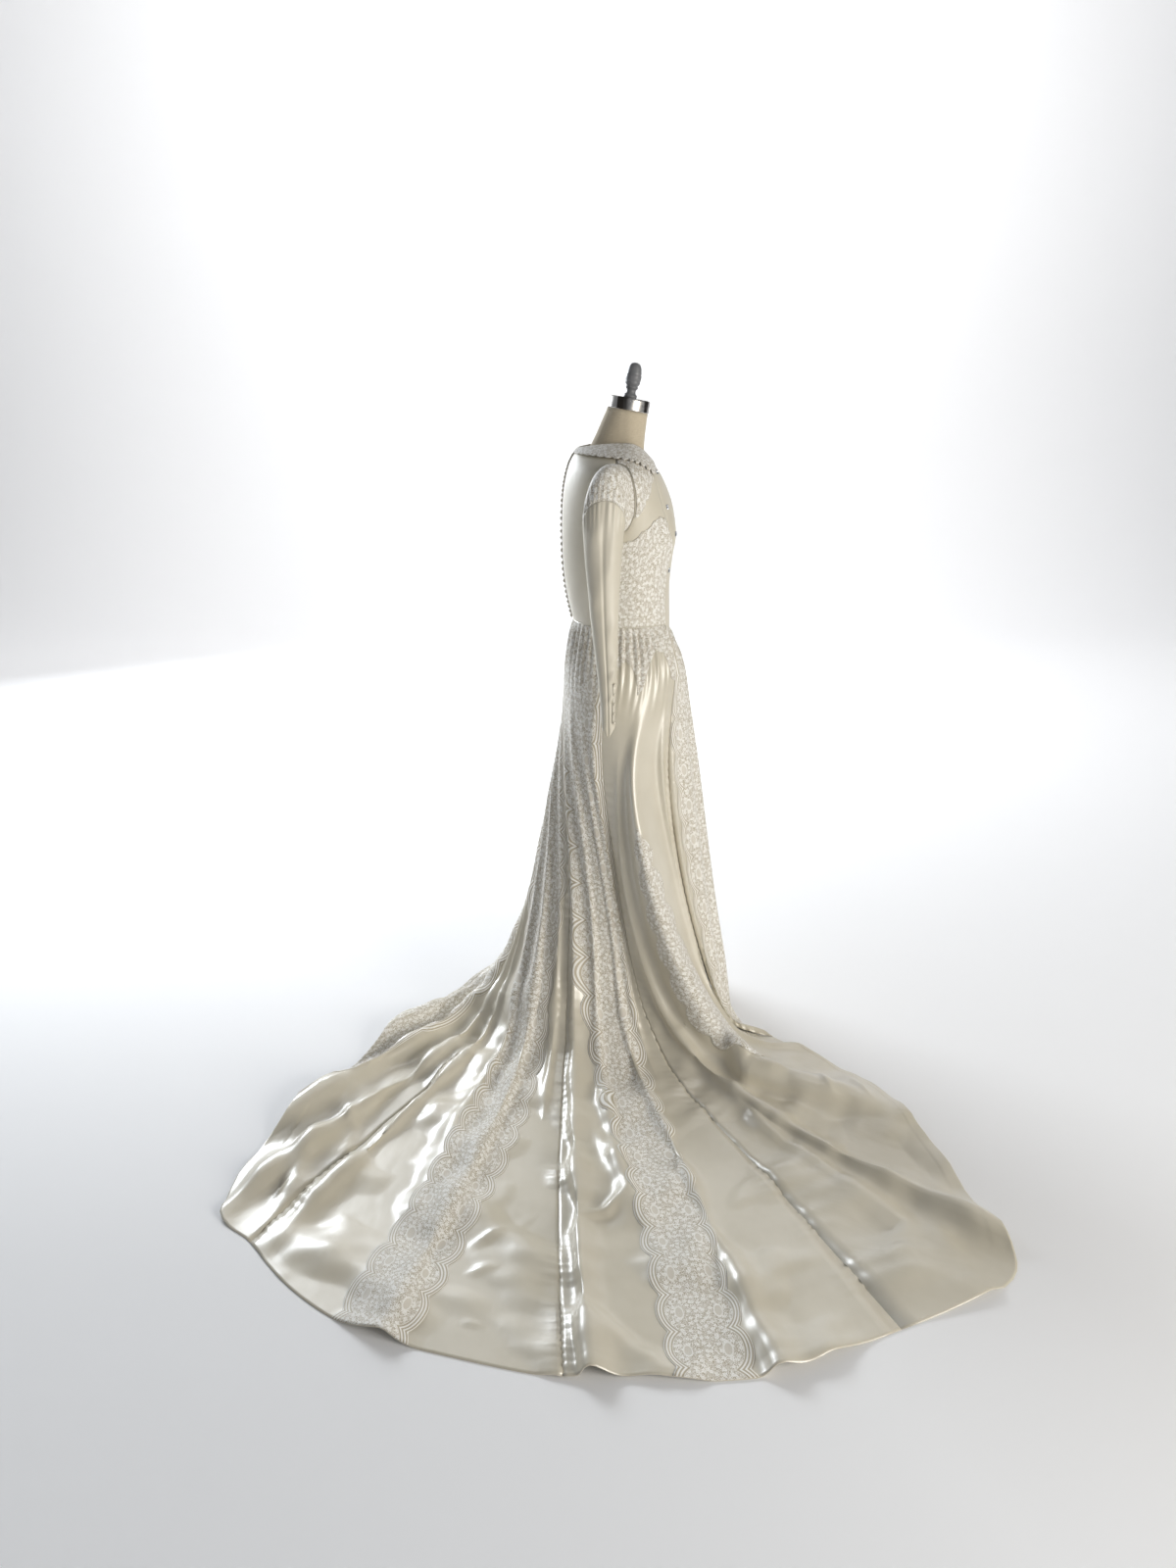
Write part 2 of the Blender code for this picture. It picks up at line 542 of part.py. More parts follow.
def gore_sheet(label, centre):
    """A gore as a triangulated sheet, each point carrying its column and its row."""
    columns = LACE_COLUMNS + 2 * SIDE_COLUMNS
    rows = len(SKIRT_ROWS) - 1
    bm = grid_of(columns, rows)
    tip_row = SKIRT_ROWS.index(TIP_LEVEL)
    lace_start, lace_end = SIDE_COLUMNS, SIDE_COLUMNS + LACE_COLUMNS
    above = []
    for face in bm.faces:
        middle = face.calc_center_median()
        beside = middle.x < lace_start or middle.x > lace_end
        if beside and middle.y < tip_row:
            above.append(face)
    bmesh.ops.delete(bm, geom=above, context="FACES")
    spare = []
    for edge in bm.edges:
        a, b = (vert.co for vert in edge.verts)
        inside = a.x == b.x and lace_start < a.x < lace_end
        if inside and min(a.y, b.y) >= THIN_ROW and (a.x - lace_start) % THIN_EVERY:
            spare.append(edge)
    bmesh.ops.dissolve_edges(bm, edges=spare, use_verts=True)
    grid = bm.verts.layers.float_vector.new("grid")
    shares = [gore_columns(label, centre, level) for level in SKIRT_ROWS]
    for vert in bm.verts:
        column, row = int(vert.co.x), int(vert.co.y)
        vert[grid] = (column, row, 0.0)
        vert.co = (shares[row][column], SKIRT_ROWS[row], 0.0)
    bmesh.ops.remove_doubles(bm, verts=bm.verts, dist=1e-6)
    bmesh.ops.triangulate(bm, faces=bm.faces, quad_method="FIXED", ngon_method="BEAUTY")
    share, level = flat_places(bm)
    return settle(bm, skirt(share, level), seam_facing(centre, share, level))


def band_length(centre):
    """Metres of cloth from the waist to each row, down the gore's middle."""
    levels = np.linspace(0.0, HEM_LEVEL, 161)
    points = skirt(np.full(len(levels), centre), levels)
    steps = np.concatenate([[0.0], np.cumsum(np.linalg.norm(np.diff(points, axis=0), axis=1))])
    return np.interp(SKIRT_ROWS, levels, steps)


def cut_line(bm, faces, a, b):
    """Cut some faces along the line through two flat points."""
    geom = set(faces)
    for face in faces:
        geom.update(face.edges)
        geom.update(face.verts)
    across = Vector((b[1] - a[1], a[0] - b[0], 0.0))
    bmesh.ops.bisect_plane(bm, geom=list(geom), dist=1e-6, plane_co=(*a, 0.0), plane_no=across)


def strip(bm, edge, side, low, high):
    """Faces on the outer side of a lace edge whose middles lie between two lengths."""
    found = []
    for face in bm.faces:
        middle = face.calc_center_median()
        if (middle.x - edge) * side > 0 and low < middle.y < high:
            found.append(face)
    return found


def lace_band(bm, centre):
    """Trim a copy of the gore's sheet to its lace, with a scalloped edge on both sides."""
    grid = bm.verts.layers.float_vector["grid"]
    lengths = band_length(centre)
    first = SIDE_COLUMNS - 1
    last = SIDE_COLUMNS + LACE_COLUMNS + 1
    beyond = []
    for face in bm.faces:
        columns = [vert[grid].x for vert in face.verts]
        if min(columns) < first or max(columns) > last:
            beyond.append(face)
    bmesh.ops.delete(bm, geom=beyond, context="FACES")
    for vert in bm.verts:
        vert.co = (vert[grid].x, lengths[int(vert[grid].y)], 0.0)
    start = lengths[SKIRT_ROWS.index(TIP_LEVEL) + 1]
    count = int((lengths[-1] - start) / SCALLOP_PITCH)
    pitch = (lengths[-1] - start) / count
    for edge, side in ((first + 1, -1), (last - 1, 1)):
        for number in range(count):
            low = start + pitch * number
            reach = pitch * 1.5
            near = strip(bm, edge, side, low - reach, low + reach)
            cut_line(bm, near, (edge, low), (edge + 1, low))
        for number in range(count):
            low = start + pitch * number
            notch, tip = edge + side * NOTCH_DEPTH, edge + side * SCALLOP_DEPTH
            corners = [
                (notch, low), (tip, low + 0.25 * pitch), (tip, low + 0.75 * pitch), (notch, low + pitch),
            ]
            for a, b in zip(corners, corners[1:]):
                cut_line(bm, strip(bm, edge, side, low, low + pitch), a, b)
        spare = []
        for face in bm.faces:
            middle = face.calc_center_median()
            off = (middle.x - edge) * side
            along = (middle.y - start) % pitch / pitch
            reach = NOTCH_DEPTH + (SCALLOP_DEPTH - NOTCH_DEPTH) * min(1.0, 4 * along, 4 * (1 - along))
            if off > 0 and (middle.y < start or off > reach):
                spare.append(face)
        bmesh.ops.delete(bm, geom=spare, context="FACES")
    bmesh.ops.triangulate(bm, faces=bm.faces)
    return bm


def lace_run(bm, centre, top, bottom):
    """Keep the part of a gore's lace that lies between two levels of the skirt's rows."""
    lengths = band_length(centre)
    low, high = lengths[SKIRT_ROWS.index(top)], lengths[SKIRT_ROWS.index(bottom)]
    spare = [face for face in bm.faces if not low < face.calc_center_median().y < high]
    bmesh.ops.delete(bm, geom=spare, context="FACES")
    return bm


for number, label in enumerate(GORE_NAMES):
    middle = number * GORE_SHARE
    gore = gore_sheet(label, middle)
    band = lace_band(gore.copy(), middle)
    for name, top, bottom in LACE_PARTS.get(label, (("skirt_lace_" + label, 0.0, HEM_LEVEL),)):
        part = lace_run(band.copy(), middle, top, bottom)
        wall(part, SEAM_GAP + LACE_WALL, SEAM_GAP, name, LACE)
    wall(gore, 0.0, -SATIN_WALL, "skirt_gore_" + label, SATIN)


# Rings of the bodice and of the form inside it
def ringed(table, share, level):
    """A point of a body of rings, with the cups of the bust raised on it."""
    rows = np.array(table)
    turn = -2 * math.pi * share
    cos, sin = np.cos(turn), np.sin(turn)
    forward = (cos > 0)[None, :]
    front, front_z, back, back_z, side, side_z = rows.T[:, :, None]
    x = np.where(forward, front, -back) * cos
    y = side * sin
    z = side_z * sin**2 + np.where(forward, front_z, back_z) * cos**2
    point = along_rows(np.stack([x, y, z], axis=2), level)
    angle = np.mod(turn + math.pi, 2 * math.pi) - math.pi
    off_angle = (np.abs(angle) - CUP_ANGLE) / CUP_SPREAD[0]
    off_height = (point[:, 2] - CUP_HEIGHT) / CUP_SPREAD[1]
    rise = CUP_RISE * np.exp(-(off_angle**2) - off_height**2)
    return point + np.stack([cos * rise, sin * rise, 0 * rise], axis=1)


def bodice(share, level):
    """A point of the bodice's outer face. Level 0 is the waist, the last the neckline."""
    point = ringed(BODICE, share, level)
    point[:, 2] += (WAIST_Z + SEAM_GAP - BODICE[0][1]) * (1 - ease(level / 2))
    point[:, 2] -= waist_drop(share) * (1 - ease(level / 2.5))
    return point


def facing(form, u, v, du, dv, last):
    """Unit normals of any form that runs from level 0 to its last."""
    across = form(u + du, v) - form(u - du, v)
    along = form(u, np.clip(v + dv, 0, last)) - form(u, np.clip(v - dv, 0, last))
    return unit(np.cross(across, along))


def bodice_facing(share, level):
    """Outward normals of the bodice, level at the waist seam."""
    out = -facing(bodice, share, level, 0.004, 0.05, NECK_LEVEL)
    out[:, 2] *= ease(level / 0.5)
    return unit(out)


def armhole_half(level):
    """Half the armhole's width there, as a share of the turn, or none."""
    off = (level - ARMHOLE_MIDDLE) / ARMHOLE_TALL
    return ARMHOLE_HALF * math.sqrt(max(1 - off * off, 0.0))


def front_edge(level):
    """Where the centre front panel meets the side front."""
    return CENTRE_PANEL + PANEL_FLARE * float(ease((level - 3.0) / 1.5))


def bodice_sheet(low_edge, high_edge, columns):
    """A panel between two edges, each a function from level to share."""
    bm = grid_of(columns, len(PANEL_ROWS) - 1)
    gap = 0.5 * SEAM_GAP / BODICE_METRES
    for vert in bm.verts:
        column, level = vert.co.x, PANEL_ROWS[int(vert.co.y)]
        low, high = low_edge(level) + gap, high_edge(level) - gap
        vert.co = (low + (high - low) * column / columns, level, 0.0)
    bmesh.ops.triangulate(bm, faces=bm.faces, quad_method="FIXED")
    bmesh.ops.reverse_faces(bm, faces=bm.faces)
    share, level = flat_places(bm)
    return settle(bm, bodice(share, level), bodice_facing(share, level))


def trim(bm, a, b, keep_side):
    """Cut a flat sheet along the line from a to b and keep its left or right side."""
    across = Vector((b[1] - a[1], a[0] - b[0], 0.0)) * keep_side
    geom = bm.verts[:] + bm.edges[:] + bm.faces[:]
    bmesh.ops.bisect_plane(
        bm, geom=geom, dist=1e-6, plane_co=(*a, 0.0), plane_no=across, clear_outer=True
    )
    return bm


def set_back(bm, edge, inset):
    """Cut a flat sheet back from its armhole edge, row by row."""
    for low, high in zip(ARMHOLE_ROWS, ARMHOLE_ROWS[1:]):
        ends = (edge(low) - inset, low), (edge(high) - inset, high)
        beside = [face for face in bm.faces if low < face.calc_center_median().y < high]
        cut_line(bm, beside, *ends)
        spare = []
        for face in bm.faces:
            middle = face.calc_center_median()
            share = ends[0][0] + (ends[1][0] - ends[0][0]) * (middle.y - low) / (high - low)
            if low < middle.y < high and middle.x > share:
                spare.append(face)
        bmesh.ops.delete(bm, geom=spare, context="FACES")
    return bm


def mirrored(source, name):
    """The left piece of a pair, from the right one."""
    bm = bmesh.new()
    bm.from_mesh(source.data)
    for vert in bm.verts:
        vert.co.y = -vert.co.y
    return keep(bm, name, source.data.materials[0])


centre_front = bodice_sheet(lambda level: -front_edge(level), front_edge, 6)
front_panel = wall(centre_front, 0.0, -SATIN_WALL, "bodice_front", SATIN)


def armhole_front(level):
    """The side front's back edge: side seam, armhole and shoulder seam."""
    return ARMHOLE_SHARE - armhole_half(level)


side_front = bodice_sheet(front_edge, armhole_front, 4)
yoke = set_back(side_front.copy(), armhole_front, YOKE_SETBACK)
yoke = trim(yoke, YOKE_LINE[0], YOKE_LINE[1], 1)
midriff = trim(side_front.copy(), MIDRIFF_PEAK, MIDRIFF_SIDE, -1)
midriff = trim(midriff, MIDRIFF_FRONT, MIDRIFF_PEAK, -1)
back = bodice_sheet(lambda level: ARMHOLE_SHARE + armhole_half(level), lambda level: 0.5, 5)
pairs = []
pairs.append(wall(side_front, 0.0, -SATIN_WALL, "bodice_side_front_right", SATIN))
pairs.append(wall(back, 0.0, -SATIN_WALL, "bodice_back_right", SATIN))
for sheet, label in ((yoke, "yoke_lace_right"), (midriff, "midriff_lace_right")):
    bmesh.ops.triangulate(sheet, faces=sheet.faces)
    pairs.append(wall(sheet, SEAM_GAP + LACE_WALL, SEAM_GAP, label, LACE))


# Collar: two leaves turned down from the neckline
def collar(along, down):
    """A point of the collar's outer face, from the neckline at 0 to its edge at 1."""
    depth = np.interp(along, [row[0] for row in COLLAR], [row[1] for row in COLLAR])
    level = NECK_LEVEL - depth * down
    front = COLLAR_FRONT[0] + (COLLAR_FRONT[1] - COLLAR_FRONT[0]) * down
    share = COLLAR_BACK + (front - COLLAR_BACK) * along
    lift = COLLAR_LIFT[0] + (COLLAR_LIFT[1] - COLLAR_LIFT[0]) * down
    return bodice(share, level) + bodice_facing(share, level) * lift[:, None]


leaf = grid_of(COLLAR_COLUMNS, 2)
for vert in leaf.verts:
    vert.co = (vert.co.x / COLLAR_COLUMNS, vert.co.y / 2, 0.0)
bmesh.ops.triangulate(leaf, faces=leaf.faces, quad_method="FIXED")
along, down = flat_places(leaf)
inward = facing(collar, along, down, 0.01, 0.05, 1.0)
settle(leaf, collar(along, down), inward)
pairs.append(wall(leaf, LACE_WALL, 0.0, "collar_right", LACE))


# Sleeves
def sleeve(turn, row):
    """A point of the right sleeve. Row 0 lies in the armhole, the last is the wrist."""
    share = ARMHOLE_SHARE - SLEEVE_HEAD[0] * ARMHOLE_HALF * np.cos(turn)
    level = ARMHOLE_MIDDLE + SLEEVE_HEAD[1] * ARMHOLE_TALL * np.sin(turn)
    rings = [bodice(share, level)]
    for x, y, z, half, deep, rise in SLEEVE:
        ring = [x + half * np.cos(turn), -(y + deep * np.sin(turn)), z + rise * np.sin(turn)]
        rings.append(np.stack(ring, axis=1))
    return along_rows(np.array(rings), row)


def sleeve_facing(turn, row):
    """Outward normals of the right sleeve, shared by its two pieces at their seam."""
    on_seam = np.abs(row - SLEEVE_LACE_END) < 2 * SLEEVE_SEAM
    row = np.where(on_seam, SLEEVE_LACE_END, row)
    return facing(sleeve, turn, row, 0.2, 0.05, float(len(SLEEVE)))


def tube(form, normal_of, sides, rows):
    """A closed sheet round a form, at the rows given."""
    bm = grid_of(sides, len(rows) - 1)
    bmesh.ops.triangulate(bm, faces=bm.faces, quad_method="FIXED")
    grid = bm.verts.layers.float_vector.new("grid")
    for vert in bm.verts:
        vert[grid] = (2 * math.pi * vert.co.x / sides, rows[int(vert.co.y)], 0.0)
    first = {vert.co.y: vert for vert in bm.verts if vert.co.x == 0}
    ends = {vert: first[vert.co.y] for vert in bm.verts if vert.co.x == sides}
    bmesh.ops.weld_verts(bm, targetmap=ends)
    turn = np.array([vert[grid].x for vert in bm.verts])
    row = np.array([vert[grid].y for vert in bm.verts])
    return settle(bm, form(turn, row), normal_of(turn, row))


seam_row = SLEEVE_LACE_END + SLEEVE_SEAM
head = tube(sleeve, sleeve_facing, SLEEVE_SIDES, (0.0, 0.75, 1.5, SLEEVE_LACE_END))
arm = tube(sleeve, sleeve_facing, SLEEVE_SIDES, (seam_row, 3.0, 4.0, 5.0, 6.0, 7.0, 8.0, 9.0))
pairs.append(wall(head, 0.0, -LACE_WALL, "sleeve_lace_right", LACE))
pairs.append(wall(arm, 0.0, -SATIN_WALL, "sleeve_right", SATIN))


# Covered buttons on their tapes
def button_tape(form, normal_of, u, start, end, count, width, lift, name):
    """A tape down a form at u, with a covered button on every other cell."""
    cells = 2 * count + 1
    bm = grid_of(1, cells)
    rows = start + (end - start) * np.array([vert.co.y for vert in bm.verts]) / cells
    side = (np.array([vert.co.x for vert in bm.verts]) - 0.5) * width
    line = np.full(len(rows), u)
    out = normal_of(line, rows)
    along = unit(form(line, rows + 0.02) - form(line, rows - 0.02))
    across = unit(np.cross(out, along))
    points = form(line, rows) + out * lift + across * side[:, None]
    offset = bm.verts.layers.float_vector.new("offset")
    for vert, point, away in zip(bm.verts, points, out):
        vert.co = point
        vert[offset] = away
    raised = bmesh.ops.extrude_face_region(bm, geom=bm.faces[:], use_keep_orig=True)["geom"]
    for item in raised:
        if isinstance(item, bmesh.types.BMVert):
            item.co += item[offset] * TAPE_WALL
    tops = [item for item in raised if isinstance(item, bmesh.types.BMFace)]
    tops.sort(key=lambda face: -face.calc_center_median().z)
    for face in tops[1::2]:
        crown = bmesh.ops.extrude_discrete_faces(bm, faces=[face])["faces"][0]
        middle = crown.calc_center_median()
        for vert in crown.verts:
            raise_by = vert[offset] * BUTTON_RISE * width
            vert.co = middle + (vert.co - middle) * BUTTON_TAPER + raise_by
    return keep(bm, name, SATIN, smooth=False)


button_tape(
    bodice, bodice_facing, 0.5, *BACK_BUTTON_LEVELS, BACK_BUTTONS, BACK_BUTTON_WIDTH,
    BACK_TAPE_LIFT, "back_buttons",
)
pairs.append(button_tape(
    sleeve, sleeve_facing, CUFF_BUTTON_TURN, *CUFF_BUTTON_ROWS, CUFF_BUTTONS, CUFF_BUTTON_WIDTH,
    CUFF_TAPE_LIFT, "cuff_buttons_right",
))
for right in pairs:
    mirrored(right, right.name.replace("right", "left"))

# Four flower ornaments, each seated on the facet of the centre front panel below it
panel_mesh = front_panel.data
panel_tree = BVHTree.FromPolygons(
    [vert.co for vert in panel_mesh.vertices], [face.vertices[:] for face in panel_mesh.polygons]
)
for number, (share, level) in enumerate(ORNAMENTS):
    bm = bmesh.new()
    bmesh.ops.create_cone(
        bm, cap_ends=True, segments=8, radius1=ORNAMENT_RADIUS, radius2=0.5 * ORNAMENT_RADIUS,
        depth=ORNAMENT_HEIGHT,
    )
    bm.verts.ensure_lookup_table()
    for vert in bm.verts:
        turn = math.atan2(vert.co.y, vert.co.x)
        petal = 1.0 if round(turn / (math.pi / 4)) % 2 == 0 else PETAL_NOTCH
        vert.co.x *= petal
        vert.co.y *= petal
    at = np.array([share]), np.array([level])
    out = Vector(bodice_facing(*at)[0])
    above = Vector(bodice(*at)[0]) + out * 0.02
    seat, away = panel_tree.ray_cast(above, -out)[:2]
    turn = away.to_track_quat("Z", "Y").to_matrix().to_4x4()
    bm.transform(Matrix.Translation(seat + away * (ORNAMENT_LIFT + 0.5 * ORNAMENT_HEIGHT)) @ turn)
    keep(bm, "front_ornament_" + str(number + 1), RHINESTONE, smooth=False)


# Dress form, with its neck cap and finial
def torso(turn, row):
    """A point of the form's body."""
    return ringed(TORSO, -turn / (2 * math.pi), row)


last_ring = len(TORSO) - 1
bm = grid_of(TORSO_SIDES, last_ring)
for vert in bm.verts:
    vert.co.x *= 2 * math.pi / TORSO_SIDES
turn, row = flat_places(bm)
for vert, point in zip(bm.verts, torso(turn, row)):
    at_top = vert.co.y == last_ring
    vert.co = point
    if at_top:
        vert.co.z = CAP_CENTRE[2] - (point[0] - CAP_CENTRE[0]) * math.tan(CAP_TILT)
bmesh.ops.remove_doubles(bm, verts=bm.verts, dist=1e-6)
bmesh.ops.holes_fill(bm, edges=bm.edges, sides=TORSO_SIDES)
keep(bm, "form_torso", LINEN)

tilt = Matrix.Translation(CAP_CENTRE) @ Matrix.Rotation(CAP_TILT, 4, "Y")
bm = bmesh.new()
bmesh.ops.create_cone(
    bm, cap_ends=True, segments=28, radius1=CAP_RADIUS, radius2=CAP_RADIUS, depth=CAP_HEIGHT
)
bm.transform(tilt @ Matrix.Translation((0, 0, SEAM_GAP + 0.5 * CAP_HEIGHT)))
keep(bm, "form_neck_cap", CHROME, smooth=False)


def turned(profile, segments, name, finish, place):
    """A turned solid from radii and heights, bottom to top, closed at both ends."""
    bm = bmesh.new()
    line = [bm.verts.new((radius, 0.0, height)) for radius, height in profile]
    edges = [bm.edges.new(pair) for pair in zip(line, line[1:])]
    bmesh.ops.spin(
        bm, geom=line + edges, axis=(0, 0, 1), cent=(0, 0, 0), angle=2 * math.pi, steps=segments,
        use_merge=True,
    )
    bmesh.ops.holes_fill(bm, edges=bm.edges, sides=segments)
    bm.transform(place)
    return keep(bm, name, finish)


above_cap = tilt @ Matrix.Translation((0, 0, 2 * SEAM_GAP + CAP_HEIGHT))
turned(FINIAL, 10, "form_finial", PAINTED, above_cap)

pole_top = float(ringed(TORSO, np.zeros(1), np.zeros(1))[0, 2]) - SEAM_GAP
pole_bottom = BASE[-1][1] + SEAM_GAP
pole = ((POLE_RADIUS, pole_bottom), (POLE_RADIUS, pole_top))
turned(pole, 16, "stand_pole", STEEL, Matrix.Identity(4))
turned(BASE, 24, "stand_base", STEEL, Matrix.Identity(4))
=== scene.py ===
import math

import bmesh
import bpy
import numpy as np
from mathutils import Matrix, Vector


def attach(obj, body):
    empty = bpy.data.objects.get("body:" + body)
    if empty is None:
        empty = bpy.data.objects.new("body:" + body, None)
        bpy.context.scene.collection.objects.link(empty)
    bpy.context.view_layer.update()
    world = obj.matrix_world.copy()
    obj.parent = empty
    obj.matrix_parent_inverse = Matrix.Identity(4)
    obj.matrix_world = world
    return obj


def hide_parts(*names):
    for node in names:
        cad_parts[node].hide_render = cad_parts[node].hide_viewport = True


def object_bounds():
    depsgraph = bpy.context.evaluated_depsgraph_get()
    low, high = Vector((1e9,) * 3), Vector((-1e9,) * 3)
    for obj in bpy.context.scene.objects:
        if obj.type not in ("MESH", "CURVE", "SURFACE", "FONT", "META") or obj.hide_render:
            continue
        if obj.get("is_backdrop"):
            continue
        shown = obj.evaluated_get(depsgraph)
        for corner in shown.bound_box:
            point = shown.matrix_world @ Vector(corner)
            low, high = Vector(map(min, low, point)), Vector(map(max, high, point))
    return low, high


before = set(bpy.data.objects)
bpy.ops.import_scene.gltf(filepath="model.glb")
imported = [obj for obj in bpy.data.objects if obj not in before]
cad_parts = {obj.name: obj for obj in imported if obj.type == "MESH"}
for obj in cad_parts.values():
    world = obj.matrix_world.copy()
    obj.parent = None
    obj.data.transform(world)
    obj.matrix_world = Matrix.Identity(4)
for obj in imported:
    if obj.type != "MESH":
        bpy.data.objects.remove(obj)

cad_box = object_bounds()


# The stand: a steel pole in a round steel foot, brushed and lacquered. The skirt hides both,
# and the form's socket slides down over the pole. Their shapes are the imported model's own.
STEEL_COLOUR = (0.50, 0.50, 0.51)
STEEL_ROUGHNESS = (0.26, 0.42)
STEEL_BRUSHING = (900.0, 900.0, 4.0)


def finish(name, colour, roughness, metallic=0.0):
    """A Principled material of one colour, with its node tree and its shader."""
    made = bpy.data.materials.new(name)
    made.use_nodes = True
    shader = made.node_tree.nodes["Principled BSDF"]
    shader.inputs["Base Color"].default_value = (*colour, 1.0)
    shader.inputs["Roughness"].default_value = roughness
    shader.inputs["Metallic"].default_value = metallic
    return made, made.node_tree, shader


def node(tree, kind, **settings):
    """A new node, with each setting put on the node or, failing that, on its input."""
    made = tree.nodes.new(kind)
    for name, value in settings.items():
        if hasattr(made, name):
            setattr(made, name, value)
        else:
            made.inputs[name.replace("_", " ")].default_value = value
    return made


def calc(tree, operation, *values):
    """The output of a Math node, whose values are sockets or numbers."""
    made = tree.nodes.new("ShaderNodeMath")
    made.operation = operation
    for place, value in enumerate(values):
        if isinstance(value, (int, float)):
            made.inputs[place].default_value = value
        else:
            tree.links.new(value, made.inputs[place])
    return made.outputs[0]


def noise(tree, source, scale, detail=2.0, roughness=0.5):
    """A Noise texture's value at some coordinates, where three scales stretch it each way."""
    if isinstance(scale, tuple):
        mapping = node(tree, "ShaderNodeMapping", Scale=scale)
        tree.links.new(source, mapping.inputs["Vector"])
        source, scale = mapping.outputs["Vector"], 1.0
    made = node(tree, "ShaderNodeTexNoise", Scale=scale, Detail=detail, Roughness=roughness)
    tree.links.new(source, made.inputs["Vector"])
    return made.outputs["Fac"]


def between(tree, value, low, high, out_low=0.0, out_high=1.0):
    """A value mapped smoothly from one range to another."""
    made = node(tree, "ShaderNodeMapRange", interpolation_type="SMOOTHSTEP")
    ends = {"From Min": low, "From Max": high, "To Min": out_low, "To Max": out_high}
    for name, number in ends.items():
        made.inputs[name].default_value = number
    tree.links.new(value, made.inputs["Value"])
    return made.outputs["Result"]


def blend_colours(tree, factor, first, second):
    """A mix of two colours, each a socket or three numbers."""
    made = node(tree, "ShaderNodeMix", data_type="RGBA")
    for place, colour in ((6, first), (7, second)):
        if isinstance(colour, tuple):
            made.inputs[place].default_value = (*colour, 1.0)
        else:
            tree.links.new(colour, made.inputs[place])
    tree.links.new(factor, made.inputs[0])
    return made.outputs[2]


def raised(tree, shader, height, strength, distance):
    """Bump the shader's surface by a height."""
    bump = node(tree, "ShaderNodeBump", Strength=strength, Distance=distance)
    tree.links.new(height, bump.inputs["Height"])
    tree.links.new(bump.outputs["Normal"], shader.inputs["Normal"])


def object_place(tree):
    """The object's own coordinates, in metres."""
    return node(tree, "ShaderNodeTexCoord").outputs["Object"]


steel, tree, shader = finish("brushed_steel", STEEL_COLOUR, roughness=0.32, metallic=1.0)
brushing = noise(tree, object_place(tree), STEEL_BRUSHING)
tree.links.new(between(tree, brushing, 0.3, 0.7, *STEEL_ROUGHNESS), shader.inputs["Roughness"])
raised(tree, shader, brushing, strength=0.10, distance=0.0003)
for part in ("stand_pole", "stand_base"):
    bpy.data.objects[part].data.materials[0] = steel


# The torso: a hollow shell covered with beige linen, cut in panels that are seamed from the
# shoulders down. Its neck is capped in chrome, and it has neither head, arms nor legs.
TORSO = (
    (0.060, 0.790, -0.075, 0.790, 0.080, 0.790),
    (0.118, 0.800, -0.128, 0.800, 0.155, 0.800),
    (0.126, 0.880, -0.132, 0.880, 0.163, 0.880),
    (0.096, 0.950, -0.118, 0.950, 0.134, 0.950),
    (0.088, 1.008, -0.104, 1.008, 0.106, 1.008),
    (0.090, 1.100, -0.124, 1.100, 0.125, 1.100),
    (0.096, 1.160, -0.128, 1.160, 0.134, 1.155),
    (0.101, 1.212, -0.129, 1.220, 0.141, 1.205),
    (0.096, 1.262, -0.127, 1.280, 0.148, 1.250),
    (0.083, 1.300, -0.122, 1.320, 0.153, 1.290),
    (0.066, 1.325, -0.112, 1.346, 0.153, 1.328),
    (0.050, 1.343, -0.100, 1.366, 0.106, 1.362),
    (0.040, 1.368, -0.084, 1.388, 0.058, 1.390),
    (0.041, 1.410, -0.070, 1.415, 0.050, 1.412),
    (0.048, 1.4642, -0.041, 1.4796, 0.0445, 1.4719),
)
CUP_HEIGHT = 1.205
CUP_ANGLE = 0.62
CUP_RISE = 0.014
CUP_SPREAD = (0.34, 0.048)
CAP_CENTRE = (0.0035, 0.0, 1.4722)
CAP_TILT = math.radians(10.0)
LINEN_COLOUR = (0.600, 0.520, 0.385)
LINEN_DARK = (0.520, 0.440, 0.315)
LINEN_WARP = (1100.0, 60.0, 1.0)
LINEN_WEFT = (60.0, 1100.0, 1.0)
TORSO_METRES = 0.8
TORSO_SEAMS = (0.0, 0.13, 0.27, 0.40, 0.5, 0.60, 0.73, 0.87)
TORSO_SEAM_SINK = 0.0007
TORSO_SEAM_WIDTH = 0.006
TORSO_COLUMNS, TORSO_ROWS = 80, 90


def along_rows(controls, level):
    """A cubic B-spline down the rows of controls, which meets the first and the last."""
    first = 2 * controls[0] - controls[1]
    last = 2 * controls[-1] - controls[-2]
    padded = np.concatenate([first[None], controls, last[None]])
    at = np.clip(np.floor(level).astype(int), 0, len(controls) - 2)
    f = (level - at)[:, None]
    pick = np.arange(len(level))
    p0, p1, p2, p3 = (padded[at + shift, pick] for shift in range(4))
    blend1 = 3 * f**3 - 6 * f**2 + 4
    blend2 = -3 * f**3 + 3 * f**2 + 3 * f + 1
    return ((1 - f) ** 3 * p0 + blend1 * p1 + blend2 * p2 + f**3 * p3) / 6.0


def ease(value):
    """Zero below 0, one above 1, and smooth between."""
    value = np.clip(value, 0.0, 1.0)
    return value * value * (3 - 2 * value)


def unit(vectors):
    """The same vectors at length one."""
    return vectors / np.maximum(np.linalg.norm(vectors, axis=-1, keepdims=True), 1e-12)


